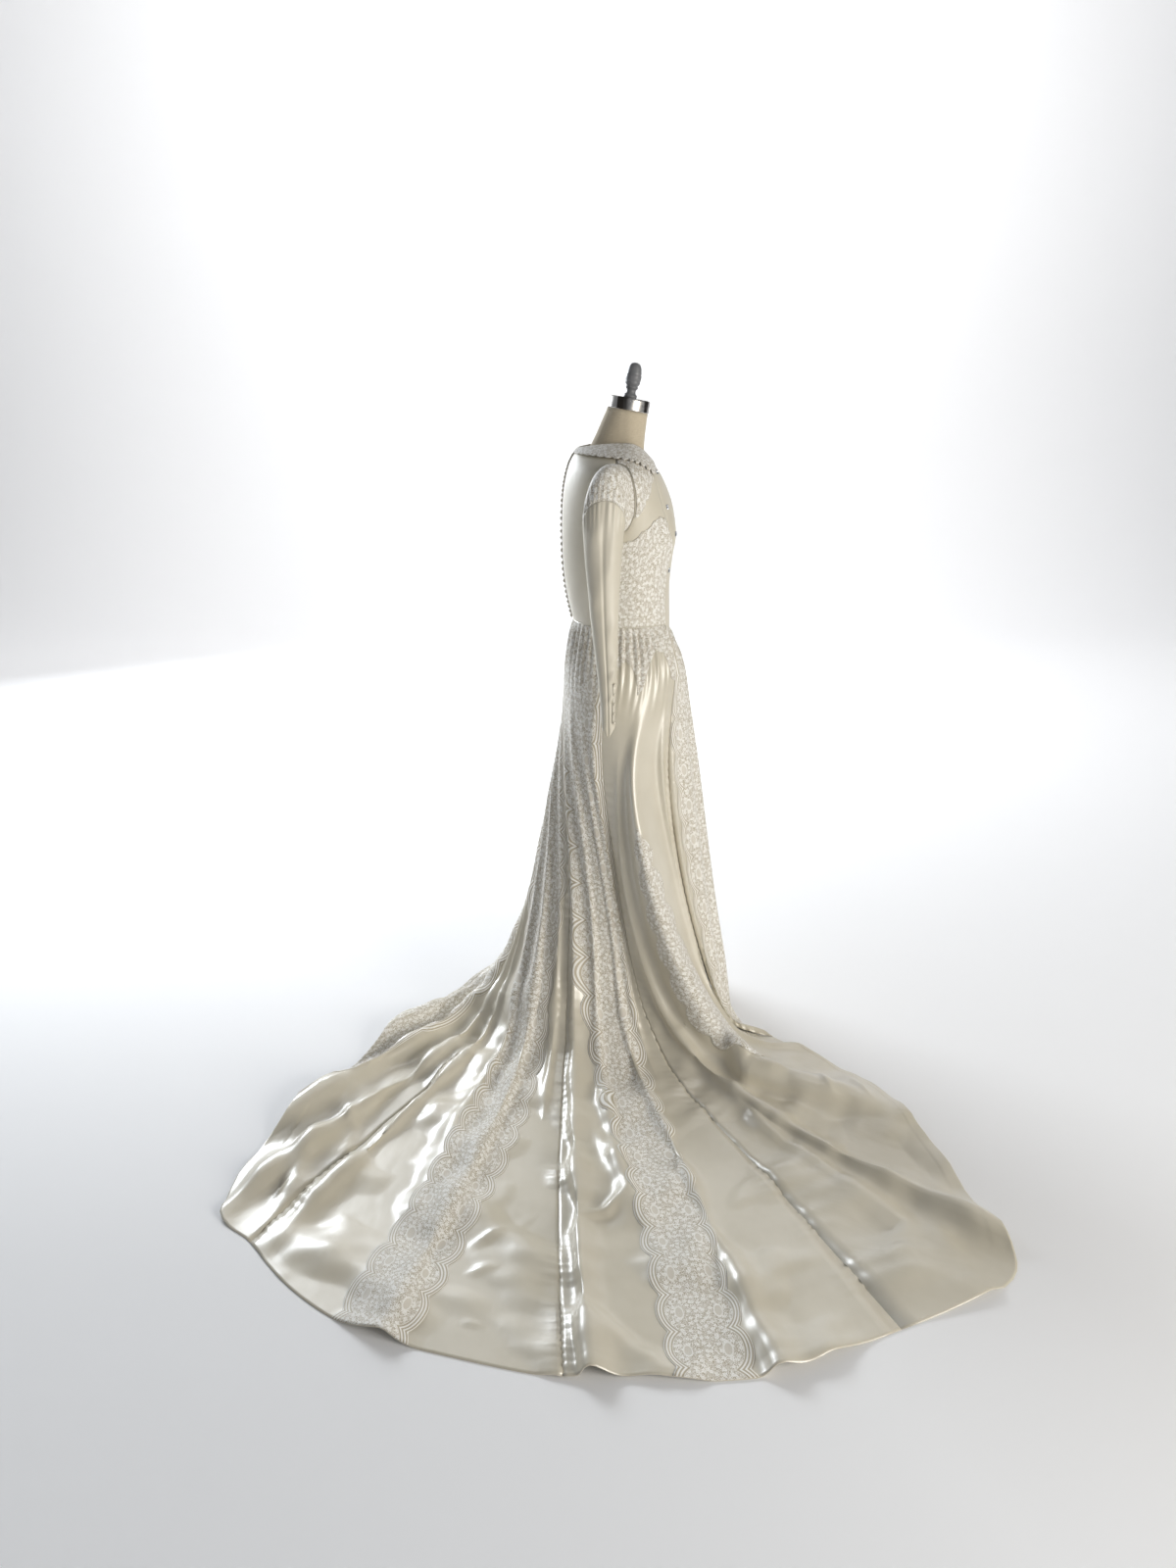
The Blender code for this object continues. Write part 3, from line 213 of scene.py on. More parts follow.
def ringed(table, share, level):
    """A point of a body of rings, with the cups of the bust raised on it."""
    rows = np.array(table)
    turn = -2 * math.pi * share
    cos, sin = np.cos(turn), np.sin(turn)
    forward = (cos > 0)[None, :]
    front, front_z, back, back_z, side, side_z = (rows[:, column][:, None] for column in range(6))
    x = np.where(forward, front, -back) * cos
    y = side * sin
    z = side_z * sin**2 + np.where(forward, front_z, back_z) * cos**2
    point = along_rows(np.stack([x, y, z], axis=2), level)
    angle = np.mod(turn + math.pi, 2 * math.pi) - math.pi
    off_angle = (np.abs(angle) - CUP_ANGLE) / CUP_SPREAD[0]
    off_height = (point[:, 2] - CUP_HEIGHT) / CUP_SPREAD[1]
    rise = CUP_RISE * np.exp(-(off_angle**2) - off_height**2)
    return point + np.stack([cos * rise, sin * rise, 0 * rise], axis=1)


def shaped(form, *places):
    """A form's points for grids of places, as a grid of points."""
    shape = np.broadcast_shapes(*(place.shape for place in places))
    flat = [np.broadcast_to(place, shape).ravel().astype(float) for place in places]
    return form(*flat).reshape(*shape, 3)


def grid_facing(points, flip=False):
    """Unit normals of a grid of points, across by down."""
    out = unit(np.cross(np.gradient(points, axis=1), np.gradient(points, axis=0)))
    return -out if flip else out


def cloth_lengths(points):
    """How far each grid point lies across and down the cloth, in metres."""
    across = np.linalg.norm(np.diff(points, axis=1), axis=2)
    down = np.linalg.norm(np.diff(points, axis=0), axis=2)
    u = np.concatenate([np.zeros((len(points), 1)), np.cumsum(across, axis=1)], axis=1)
    v = np.concatenate([np.zeros((1, points.shape[1])), np.cumsum(down, axis=0)], axis=0)
    middle = slice(u.shape[1] // 2, u.shape[1] // 2 + 1)
    return np.stack([u - u[:, middle], np.repeat(v[:, middle], u.shape[1], axis=1)], axis=2)


def cloth_sheet(
    name, points, cloth, closed=False, flip=False, thick=0.0, outward=-1.0, cut=None, edge=None
):
    """A smooth sheet through a grid of points, with its cut places in metres as a UV map.

    A second map, edge, can hold how far each place lies in from the border and along it.
    """
    rows, columns = points.shape[0] - 1, points.shape[1] - 1
    if cut is None:
        cut = cloth_lengths(points)
    bm = bmesh.new()
    bmesh.ops.create_grid(bm, x_segments=columns, y_segments=rows, size=1.0)
    layer = bm.loops.layers.uv.new("cut")
    border = bm.loops.layers.uv.new("edge") if edge is not None else None
    ends = {}
    firsts = {}
    for vert in bm.verts:
        column = round((vert.co.x + 1) / 2 * columns)
        row = round((vert.co.y + 1) / 2 * rows)
        vert.co = points[row, column]
        for loop in vert.link_loops:
            loop[layer].uv = cut[row, column]
            if border:
                loop[border].uv = edge[row, column]
        if column == 0:
            firsts[row] = vert
        if column == columns:
            ends[row] = vert
    if closed:
        bmesh.ops.weld_verts(bm, targetmap={ends[row]: firsts[row] for row in ends})
    if flip:
        bmesh.ops.reverse_faces(bm, faces=bm.faces)
    return kept(bm, name, cloth, thick, outward)


def kept(bm, name, cloth, thick=0.0, outward=-1.0, smooth=True):
    """The bmesh as a piece that rides on the row's one body."""
    mesh = bpy.data.meshes.new(name)
    bm.to_mesh(mesh)
    bm.free()
    mesh.materials.append(cloth)
    if smooth:
        mesh.shade_smooth()
    piece = bpy.data.objects.new(name, mesh)
    bpy.context.scene.collection.objects.link(piece)
    if thick:
        wall = piece.modifiers.new("thickness", "SOLIDIFY")
        wall.thickness = thick
        wall.offset = outward
    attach(piece, "root")
    return piece


def cut_place(tree, layer="cut"):
    """The piece's own cut, in metres across and down."""
    return node(tree, "ShaderNodeUVMap", uv_map=layer).outputs["UV"]


linen, tree, shader = finish("beige_linen", LINEN_COLOUR, roughness=0.88)
place = cut_place(tree)
warp = noise(tree, place, LINEN_WARP, detail=1.0)
weft = noise(tree, place, LINEN_WEFT, detail=1.0)
weave = calc(tree, "ADD", warp, weft)
tone = between(tree, weave, 0.75, 1.25)
tree.links.new(blend_colours(tree, tone, LINEN_DARK, LINEN_COLOUR), shader.inputs["Base Color"])
raised(tree, shader, weave, strength=0.5, distance=0.0006)
shader.inputs["Sheen Weight"].default_value = 0.15

share = np.linspace(0.0, 1.0, TORSO_COLUMNS + 1)[None, :]
row = np.linspace(0.0, len(TORSO) - 1.0, TORSO_ROWS + 1)[:, None]
points = shaped(lambda turn, level: ringed(TORSO, turn, level), share, row)
level_top = CAP_CENTRE[2] - (points[:, :, 0] - CAP_CENTRE[0]) * math.tan(CAP_TILT)
points[:, :, 2] += (level_top - points[:, :, 2]) * (row == row.max())
out = grid_facing(points, flip=True)
for seam in TORSO_SEAMS:
    off = np.abs(share - seam) * TORSO_METRES
    points -= out * (TORSO_SEAM_SINK * np.exp(-((off / TORSO_SEAM_WIDTH) ** 2)))[:, :, None]
torso = cloth_sheet("torso_cover", points, linen, closed=True, flip=True)
bm = bmesh.new()
bm.from_mesh(torso.data)
bmesh.ops.remove_doubles(bm, verts=bm.verts, dist=1e-6)
bmesh.ops.holes_fill(bm, edges=bm.edges, sides=TORSO_COLUMNS)
bm.to_mesh(torso.data)
bm.free()
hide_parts("form_torso")


# The neck cap: a spun chrome cup with a rolled lip, pressed down over the linen of the neck
# and tilted with it. A turned and painted wooden finial is screwed down through its top.
CAP_HEIGHT = 0.0265
CAP_PROFILE = (
    (0.0000, 0.0262), (0.0380, 0.0264), (0.0432, 0.0262), (0.0456, 0.0250), (0.0464, 0.0226),
    (0.0465, 0.0080), (0.0465, 0.0030), (0.0471, 0.0018), (0.0468, 0.0006), (0.0455, 0.0004),
)
FINIAL_PROFILE = (
    (0.0000, -0.0010), (0.0138, -0.0010), (0.0148, 0.0010), (0.0150, 0.0040), (0.0142, 0.0062),
    (0.0116, 0.0080), (0.0106, 0.0110), (0.0104, 0.0150), (0.0112, 0.0176), (0.0136, 0.0196),
    (0.0141, 0.0214), (0.0136, 0.0232), (0.0124, 0.0240), (0.0124, 0.0250), (0.0150, 0.0272),
    (0.0163, 0.0304), (0.0166, 0.0330), (0.0160, 0.0342), (0.0160, 0.0352), (0.0170, 0.0372),
    (0.0174, 0.0430), (0.0171, 0.0474), (0.0164, 0.0486), (0.0164, 0.0496), (0.0160, 0.0540),
    (0.0144, 0.0620), (0.0120, 0.0680), (0.0088, 0.0718), (0.0048, 0.0736), (0.0000, 0.0740),
)
FINIAL_GAP = 0.0006
TURNED_SIDES = 64
# Painted reflections: the chrome's base colour runs in bands from near black to pale, painted in to stand
# for the dark and bright things the cap reflects.
CHROME_PAINTED_REFLECTION_BANDS = (48.0, 48.0, 0.5)
CHROME_PAINTED_DARK_REFLECTION = (0.075, 0.065, 0.055)
CHROME_PAINTED_BRIGHT_REFLECTION = (0.62, 0.60, 0.57)
CHROME_ROUGHNESS = (0.26, 0.38)
PAINT_COLOUR = (0.185, 0.185, 0.190)
PAINT_WORN = (0.16, 0.165, 0.17)
PAINT_BRUSHING = (90.0, 90.0, 260.0)
PAINT_ROUGHNESS = (0.34, 0.52)


def turned(profile, place, name, surface):
    """A turned piece from radii and heights, set in its place."""
    bm = bmesh.new()
    line = [bm.verts.new((radius, 0.0, height)) for radius, height in profile]
    edges = [bm.edges.new(pair) for pair in zip(line, line[1:])]
    bmesh.ops.spin(
        bm, geom=line + edges, axis=(0, 0, 1), cent=(0, 0, 0), angle=2 * math.pi, steps=TURNED_SIDES,
        use_merge=True,
    )
    bmesh.ops.remove_doubles(bm, verts=bm.verts, dist=1e-6)
    bmesh.ops.recalc_face_normals(bm, faces=bm.faces)
    bm.transform(place)
    return kept(bm, name, surface)


tilt = Matrix.Translation(CAP_CENTRE) @ Matrix.Rotation(CAP_TILT, 4, "Y")
chrome, tree, shader = finish("polished_chrome", CHROME_PAINTED_BRIGHT_REFLECTION, roughness=0.30, metallic=1.0)
smear = noise(tree, object_place(tree), 60.0, detail=3.0)
tree.links.new(between(tree, smear, 0.35, 0.75, *CHROME_ROUGHNESS), shader.inputs["Roughness"])
# Painted reflection: dark and bright bands are painted into the chrome's base colour round the cap, in place
# of reflections of the room.
painted_reflection_bands = noise(tree, object_place(tree), CHROME_PAINTED_REFLECTION_BANDS, detail=1.0)
painted_reflections = blend_colours(tree, between(tree, painted_reflection_bands, 0.44, 0.56), CHROME_PAINTED_DARK_REFLECTION, CHROME_PAINTED_BRIGHT_REFLECTION)
tree.links.new(painted_reflections, shader.inputs["Base Color"])
cap = turned(CAP_PROFILE, tilt, "neck_cap", chrome)
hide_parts("form_neck_cap")

paint, tree, shader = finish("grey_paint", PAINT_COLOUR, roughness=0.42)
brush_marks = noise(tree, object_place(tree), PAINT_BRUSHING, detail=3.0)
worn = blend_colours(tree, between(tree, brush_marks, 0.35, 0.7), PAINT_COLOUR, PAINT_WORN)
tree.links.new(worn, shader.inputs["Base Color"])
tree.links.new(between(tree, brush_marks, 0.3, 0.7, *PAINT_ROUGHNESS), shader.inputs["Roughness"])
raised(tree, shader, brush_marks, strength=0.15, distance=0.0004)
finial_place = tilt @ Matrix.Translation((0, 0, CAP_HEIGHT + FINIAL_GAP))
finial = turned(FINIAL_PROFILE, finial_place, "turned_finial", paint)
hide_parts("form_finial")


# The bodice: five panels of ivory satin, cut on the straight, seamed at the princess lines
# and the sides, and fastened down the centre back. Each seam sinks a little into the cloth.
BODICE = (
    (0.107, 1.008, -0.119, 1.008, 0.121, 1.008),
    (0.104, 1.055, -0.130, 1.050, 0.130, 1.055),
    (0.104, 1.100, -0.139, 1.100, 0.140, 1.100),
    (0.110, 1.160, -0.143, 1.160, 0.149, 1.155),
    (0.115, 1.212, -0.144, 1.220, 0.156, 1.205),
    (0.110, 1.262, -0.142, 1.280, 0.163, 1.250),
    (0.097, 1.300, -0.137, 1.320, 0.169, 1.290),
    (0.080, 1.335, -0.127, 1.358, 0.172, 1.345),
    (0.065, 1.355, -0.116, 1.378, 0.120, 1.378),
    (0.054, 1.366, -0.105, 1.390, 0.070, 1.400),
)
NECKLINE = 9.0
WAIST_Z = 1.006
WAIST_FADE = 2.0
BASQUE_DIP = 0.045
BASQUE_SPREAD = 0.055
BASQUE_FADE = 2.5
ARMHOLE_SHARE = 0.285
ARMHOLE_HALF = 0.060
ARMHOLE_LOW = 4.2
ARMHOLE_HIGH = 7.6
ARMHOLE_MIDDLE = 0.5 * (ARMHOLE_LOW + ARMHOLE_HIGH)
ARMHOLE_TALL = 0.5 * (ARMHOLE_HIGH - ARMHOLE_LOW)
CENTRE_PANEL = 0.085
PANEL_FLARE = 0.030
PANEL_FLARE_LEVELS = (3.0, 1.5)
BODICE_METRES = 0.55
SATIN_WALL = 0.0014
LACE_WALL = 0.0007
SEAM_SINK = 0.0008
SEAM_WIDTH = 0.0045
PANEL_GAP = 0.0003
# Pull lines above the waist: height, waves a metre and a share, the level they fade from and over
PULLS = (0.0009, 38.0, 54.0, 1.0, 2.5)
SATIN_COLOUR = (0.670, 0.620, 0.505)
SATIN_DEEP = (0.590, 0.540, 0.425)
SATIN_ROUGHNESS = (0.30, 0.40)
BODICE_ROUGHNESS = (0.48, 0.60)
SATIN_STREAKS = (420.0, 14.0, 1.0)
SATIN_SLUBS = (30.0, 700.0, 1.0)
SATIN_CRUSH = (26.0, 17.0, 1.0)
SATIN_GLOSS = {
    "Sheen Weight": 0.12, "Sheen Roughness": 0.35, "IOR": 1.70, "Specular IOR Level": 0.75,
    "Coat Roughness": 0.18,
}


def waist_drop(share):
    """How far the waist seam dips to its point at the centre front."""
    off = np.mod(share + 0.5, 1.0) - 0.5
    return BASQUE_DIP * np.exp(-((off / BASQUE_SPREAD) ** 2))


def bodice(share, level):
    """A point of the bodice's outer face. Level 0 is the waist, 9 the neckline."""
    point = ringed(BODICE, share, level)
    point[:, 2] += (WAIST_Z - BODICE[0][1]) * (1 - ease(level / WAIST_FADE))
    point[:, 2] -= waist_drop(share) * (1 - ease(level / BASQUE_FADE))
    return point


def bodice_facing(share, level):
    """Outward normals of the bodice."""
    across = bodice(share + 0.004, level) - bodice(share - 0.004, level)
    up = np.clip(level + 0.05, 0, NECKLINE)
    along = bodice(share, up) - bodice(share, np.clip(level - 0.05, 0, NECKLINE))
    return -unit(np.cross(across, along))


def armhole_half(level):
    """Half the armhole's width there, as a share of the turn."""
    off = (level - ARMHOLE_MIDDLE) / ARMHOLE_TALL
    return ARMHOLE_HALF * np.sqrt(np.maximum(1 - off * off, 0.0))


def front_edge(level):
    """Where the centre front panel meets the side front."""
    start, over = PANEL_FLARE_LEVELS
    return CENTRE_PANEL + PANEL_FLARE * ease((level - start) / over)


def satin_finish(name, colour, deep, shine, coat):
    """Ivory satin: long threads floated down the cloth, glossy and faintly streaked."""
    made, tree, shader = finish(name, colour, shine[0])
    place = cut_place(tree)
    streaks = noise(tree, place, SATIN_STREAKS, detail=3.0)
    slubs = noise(tree, place, SATIN_SLUBS)
    ageing = noise(tree, object_place(tree), 4.0, detail=4.0, roughness=0.6)
    crush = noise(tree, place, SATIN_CRUSH, roughness=0.4)
    aged = blend_colours(tree, between(tree, ageing, 0.36, 0.68), colour, deep)
    tree.links.new(aged, shader.inputs["Base Color"])
    tree.links.new(between(tree, streaks, 0.3, 0.7, *shine), shader.inputs["Roughness"])
    floats = calc(tree, "MULTIPLY", streaks, 0.06)
    threads = calc(tree, "ADD", floats, calc(tree, "MULTIPLY", slubs, 0.03))
    raised(tree, shader, calc(tree, "ADD", threads, crush), strength=0.25, distance=0.0030)
    for socket, value in SATIN_GLOSS.items():
        shader.inputs[socket].default_value = value
    shader.inputs["Coat Weight"].default_value = coat
    return made


satin = satin_finish("ivory_duchess_satin", SATIN_COLOUR, SATIN_DEEP, SATIN_ROUGHNESS, 0.20)
bodice_satin = satin_finish("ivory_bodice_satin", SATIN_COLOUR, SATIN_DEEP, BODICE_ROUGHNESS, 0.0)


def panel_points(low_edge, high_edge, columns, rows):
    """A grid of the bodice between two edges, each a function from level to share."""
    height, along, round_it, fade_from, fade_over = PULLS
    level = np.linspace(0.0, NECKLINE, rows + 1)[:, None]
    gap = 0.5 * PANEL_GAP / BODICE_METRES
    low, high = low_edge(level) + gap, high_edge(level) - gap
    way = np.linspace(0.0, 1.0, columns + 1)[None, :]
    share = low + (high - low) * way
    points = shaped(bodice, share, level)
    out = shaped(bodice_facing, share, level)
    width = (high - low) * BODICE_METRES
    sink = sum(np.exp(-((side * width / SEAM_WIDTH) ** 2)) for side in (way, 1 - way))
    pulls = height * np.sin(along * points[:, :, 2] + round_it * share) * np.sin(way * math.pi)
    pulls *= 1 - ease((level - fade_from) / fade_over)
    return points + out * (pulls - SEAM_SINK * np.minimum(sink, 1.0))[:, :, None]


def mirrored(piece, name):
    """The left piece of a pair, from the right one, with the same thickness."""
    bm = bmesh.new()
    bm.from_mesh(piece.data)
    for vert in bm.verts:
        vert.co.y = -vert.co.y
    bmesh.ops.reverse_faces(bm, faces=bm.faces)
    wall = piece.modifiers.get("thickness")
    thick, outward = (wall.thickness, wall.offset) if wall else (0.0, -1.0)
    smooth = piece.data.polygons[0].use_smooth
    return kept(bm, name, piece.data.materials[0], thick, outward, smooth)


def declared(sheet, node_name, slot, cut, held, *rests_on):
    """Hide the node that a sheet stands for; the sheet itself, its finish, its cut (width, length, area) and
    how it is held are not used.
    """
    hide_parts(node_name)


def sheet_pair(name, points, cloth, node_name, slot, cut, held, *rests_on, **wall):
    """A right sheet and its mirrored left one, in place of a pair of nodes."""
    right = cloth_sheet(name + "_right", points, cloth, **wall)
    for piece, side in ((right, "right"), (mirrored(right, name + "_left"), "left")):
        below = [item.replace("SIDE", side) for item in rests_on]
        declared(piece, node_name + "_" + side, slot, cut, held, *below)


def side_seam(level):
    """The side front's back edge: side seam, armhole and shoulder seam."""
    return ARMHOLE_SHARE - armhole_half(level)


def back_side_seam(level):
    """The back's front edge, which meets the side front's but round the armhole."""
    return ARMHOLE_SHARE + armhole_half(level)


points = panel_points(lambda level: -front_edge(level), front_edge, 60, 90)
centre_front = cloth_sheet("centre_front_panel", points, bodice_satin, flip=True, thick=SATIN_WALL)
declared(
    centre_front, "bodice_front", "ivory_satin", (0.24, 0.44, 0.074), "stretched", "torso_cover",
)
sheet_pair(
    "side_front_panel", panel_points(front_edge, side_seam, 36, 120), bodice_satin,
    "bodice_side_front", "ivory_satin", (0.17, 0.42, 0.052), "stretched", "torso_cover",
    flip=True, thick=SATIN_WALL,
)
sheet_pair(
    "back_panel", panel_points(back_side_seam, lambda level: 0.5 + 0 * level, 44, 120), bodice_satin,
    "bodice_back", "ivory_satin", (0.22, 0.42, 0.073), "stretched", "torso_cover",
    flip=True, thick=SATIN_WALL,
)


# The lace laid over the side fronts: a yoke over each shoulder with a scalloped lower edge,
# and a midriff piece that peaks under the bust. Both are cut from the same flat galloon,
# a fine net worked with flowers and tendrils in thicker thread, and are tacked to the satin.
LACE_THREAD = (0.960, 0.940, 0.885)
LACE_SHADE = (0.700, 0.640, 0.520)
LACE_GROUND = (0.440, 0.375, 0.265)
FLOWER_PITCH = 0.0125
FLOWER_RADIUS = 0.0045
TENDRIL_SCALE = 170.0
NET_PITCH = 0.0016
TENDRIL_TURNS = 7.0
TENDRIL_LINE = (0.17, 0.27)
PETAL_TURNS = 2.5
SCALLOP_PITCH = 0.088
SCALLOP_DEEP = 0.016
FAN_RADIUS = ((0.5 * SCALLOP_PITCH) ** 2 + SCALLOP_DEEP**2) / (2 * SCALLOP_DEEP)
FAN_STEP = 0.0062
FAN_DEEP = 0.0185
FAN_END = 0.0008
MEDALLION_IN = 0.030
MEDALLION_SIZE = (0.0070, 0.0120)
MEDALLION_RING = 1.15
LACE_LIFT = 0.0006


def ring_lines(tree, distance, spacing, thick):
    """One where a distance is within half a line's thickness of a multiple of spacing."""
    turns = calc(tree, "FRACT", calc(tree, "DIVIDE", distance, spacing))
    off = calc(tree, "ABSOLUTE", calc(tree, "SUBTRACT", turns, 0.5))
    half = 0.5 * thick / spacing
    return between(tree, off, 0.5 - half * 1.4, 0.5 - half * 0.6)


def length_of(tree, x, y):
    """The length of the vector of two sockets."""
    square = calc(tree, "ADD", calc(tree, "MULTIPLY", x, x), calc(tree, "MULTIPLY", y, y))
    return calc(tree, "POWER", square, 0.5)


def lace_finish(name, scalloped=False):
    """Galloon lace on its cut: net, tendrils and flowers, with fans along scalloped edges."""
    made, tree, shader = finish(name, LACE_THREAD, roughness=0.78)

    def do(operation, *values):
        return calc(tree, operation, *values)

    place = cut_place(tree)
    net = node(tree, "ShaderNodeTexVoronoi", voronoi_dimensions="2D", feature="DISTANCE_TO_EDGE")
    net.inputs["Scale"].default_value = 1.0 / NET_PITCH
    tree.links.new(place, net.inputs["Vector"])
    net_threads = between(tree, net.outputs["Distance"], 0.06, 0.16, 1.0, 0.0)

    flowers = node(tree, "ShaderNodeTexVoronoi", voronoi_dimensions="2D", feature="F1")
    flowers.inputs["Scale"].default_value = 1.0 / FLOWER_PITCH
    flowers.inputs["Randomness"].default_value = 0.8
    tree.links.new(place, flowers.inputs["Vector"])
    from_centre = node(tree, "ShaderNodeVectorMath", operation="SUBTRACT")
    tree.links.new(place, from_centre.inputs[0])
    tree.links.new(flowers.outputs["Position"], from_centre.inputs[1])
    local = node(tree, "ShaderNodeSeparateXYZ")
    tree.links.new(from_centre.outputs[0], local.inputs[0])
    x, y = local.outputs[0], local.outputs[1]
    angle = do("ARCTAN2", y, x)
    radius = length_of(tree, x, y)
    petals = do("ABSOLUTE", do("SINE", do("MULTIPLY", angle, PETAL_TURNS)))
    reach = do("MULTIPLY_ADD", petals, 0.5 * FLOWER_RADIUS, 0.5 * FLOWER_RADIUS)
    inside = do("DIVIDE", radius, reach)
    flower = between(tree, inside, 0.85, 1.0, 1.0, 0.0)
    veins = between(tree, inside, 0.30, 0.42)
    flower = do("MULTIPLY", flower, do("MULTIPLY_ADD", veins, 0.5, 0.5))

    wander = noise(tree, place, TENDRIL_SCALE, 1.5)
    curls = do("FRACT", do("MULTIPLY", wander, TENDRIL_TURNS))
    curls = do("ABSOLUTE", do("SUBTRACT", curls, 0.5))
    tendrils = between(tree, curls, *TENDRIL_LINE, 1.0, 0.0)
    worked = do("MAXIMUM", flower, tendrils)

    if scalloped:
        parts = node(tree, "ShaderNodeSeparateXYZ")
        tree.links.new(cut_place(tree, "edge"), parts.inputs[0])
        inward = parts.outputs[0]
        turns = do("FRACT", do("DIVIDE", parts.outputs[1], SCALLOP_PITCH))
        phase = do("SUBTRACT", turns, 0.5)
        side = do("MULTIPLY", phase, SCALLOP_PITCH)
        off = do("SUBTRACT", FAN_RADIUS - SCALLOP_DEEP, inward)
        from_edge = do("SUBTRACT", FAN_RADIUS, length_of(tree, off, side))
        rings = ring_lines(tree, from_edge, FAN_STEP, 0.5 * FAN_STEP)
        fan = between(tree, from_edge, FAN_DEEP - FAN_END, FAN_DEEP, 1.0, 0.0)
        fan = do("MULTIPLY", fan, do("LESS_THAN", inward, FAN_DEEP + SCALLOP_DEEP))
        oval_x = do("DIVIDE", do("SUBTRACT", inward, MEDALLION_IN), MEDALLION_SIZE[0])
        oval_y = do("DIVIDE", side, MEDALLION_SIZE[1])
        oval = length_of(tree, oval_x, oval_y)
        ring = do("ABSOLUTE", do("SUBTRACT", oval, MEDALLION_RING))
        medallion_edge = between(tree, ring, 0.14, 0.26, 1.0, 0.0)
        in_medallion = between(tree, oval, 0.9, 1.0, 1.0, 0.0)
        covered = do("MAXIMUM", fan, in_medallion)
        open_body = do("MULTIPLY", worked, do("SUBTRACT", 1.0, covered))
        worked = do("MAXIMUM", open_body, do("MULTIPLY", rings, fan))
        worked = do("MAXIMUM", worked, do("MULTIPLY", medallion_edge, 0.8))
        worked = do("MAXIMUM", worked, do("MULTIPLY", in_medallion, 0.45))

    fine = blend_colours(tree, do("MULTIPLY", net_threads, 0.6), LACE_GROUND, LACE_SHADE)
    colour = blend_colours(tree, worked, fine, LACE_THREAD)
    tree.links.new(colour, shader.inputs["Base Color"])
    height = do("ADD", do("MULTIPLY", net_threads, 0.15), worked)
    raised(tree, shader, height, strength=0.6, distance=0.0010)
    tree.links.new(between(tree, worked, 0.0, 1.0, 0.45, 0.70), shader.inputs["Roughness"])
    shader.inputs["Sheen Weight"].default_value = 0.10
    return made


flat_lace = lace_finish("flat_lace")
SCALLOP_ROUND = 0.6
YOKE_LOW = (7.4, 5.1)
YOKE_SETBACK = 0.006
YOKE_SCALLOPS = 3
YOKE_SCALLOP_DEEP = 0.20
MIDRIFF_TOP = ((0.080, 4.2), (0.140, 5.1), (0.240, 4.0))
MIDRIFF_GAP = 0.001
MIDRIFF_LOW = 0.02
MIDRIFF_SCALLOPS = 5
MIDRIFF_SCALLOP_DEEP = 0.12
OVERLAY_COLUMNS, OVERLAY_ROWS = 60, 70
OVERLAY_WALL = {"flip": True, "thick": LACE_WALL, "outward": 1.0}


def scallops(count, way):
    """A row of scallops along an edge: 0 where two meet, and 1 at the middle of each."""
    return np.abs(np.sin(math.pi * count * way)) ** SCALLOP_ROUND


def overlay_points(share, level):
    """Points of a lace piece laid on the bodice, raised off the satin below it."""
    points = shaped(bodice, share, level)
    return points + shaped(bodice_facing, share, level) * LACE_LIFT


way = np.linspace(0.0, 1.0, OVERLAY_COLUMNS + 1)[None, :]
up = np.linspace(0.0, 1.0, OVERLAY_ROWS + 1)[:, None]
low = YOKE_LOW[0] + (YOKE_LOW[1] - YOKE_LOW[0]) * way - YOKE_SCALLOP_DEEP * scallops(YOKE_SCALLOPS, way)
level = low + (NECKLINE - low) * up
yoke_share = front_edge(level) + (side_seam(level) - YOKE_SETBACK - front_edge(level)) * way
sheet_pair(
    "lace_yoke", overlay_points(yoke_share, level), flat_lace, "yoke_lace", "ivory_lace",
    (0.12, 0.17, 0.0115), "laid", "side_front_panel_SIDE", **OVERLAY_WALL,
)

edge = front_edge(0.0 * way)
share = edge + (ARMHOLE_SHARE - MIDRIFF_GAP - edge) * way
top = np.interp(share, *zip(*MIDRIFF_TOP)) - MIDRIFF_SCALLOP_DEEP * scallops(MIDRIFF_SCALLOPS, way)
level = MIDRIFF_LOW + (top - MIDRIFF_LOW) * up
share = np.maximum(share, front_edge(level) + MIDRIFF_GAP)
sheet_pair(
    "lace_midriff", overlay_points(share, level), flat_lace, "midriff_lace", "ivory_lace",
    (0.16, 0.25, 0.033), "laid", "side_front_panel_SIDE", **OVERLAY_WALL,
)


# The collar: two leaves of the same lace with a scalloped edge, doubled, sewn to the
# neckline and turned down over the yoke. They meet in points at the centre front.
COLLAR = ((0.0, 0.85), (0.3, 1.05), (0.6, 1.25), (0.8, 1.50), (0.92, 1.80), (1.0, 2.10))
COLLAR_BACK = 0.494
COLLAR_FRONT = (0.035, 0.125)
COLLAR_LIFT = (0.0036, 0.0052)
COLLAR_COLUMNS, COLLAR_ROWS = 150, 16
COLLAR_SCALLOPS = 15
COLLAR_SCALLOP_DEEP = 0.10


def collar(along, down):
    """A point of the collar's leaf, from the neckline at 0 to its edge at 1."""
    level = NECKLINE - np.interp(along, *zip(*COLLAR)) * down
    front = COLLAR_FRONT[0] + (COLLAR_FRONT[1] - COLLAR_FRONT[0]) * down
    share = COLLAR_BACK + (front - COLLAR_BACK) * along
    lift = COLLAR_LIFT[0] + (COLLAR_LIFT[1] - COLLAR_LIFT[0]) * np.sin(down * 0.5 * math.pi)
    return bodice(share, level) + bodice_facing(share, level) * lift[:, None]


along = np.linspace(0.0, 1.0, COLLAR_COLUMNS + 1)[None, :]
down = np.linspace(0.0, 1.0, COLLAR_ROWS + 1)[:, None]
points = shaped(collar, along, down * (1 - COLLAR_SCALLOP_DEEP * (1 - scallops(COLLAR_SCALLOPS, along))))
sheet_pair(
    "lace_collar", points, flat_lace, "collar", "ivory_lace", (0.06, 0.27, 0.0137), "folded",
    "lace_yoke_SIDE", "back_panel_SIDE", **OVERLAY_WALL,
)


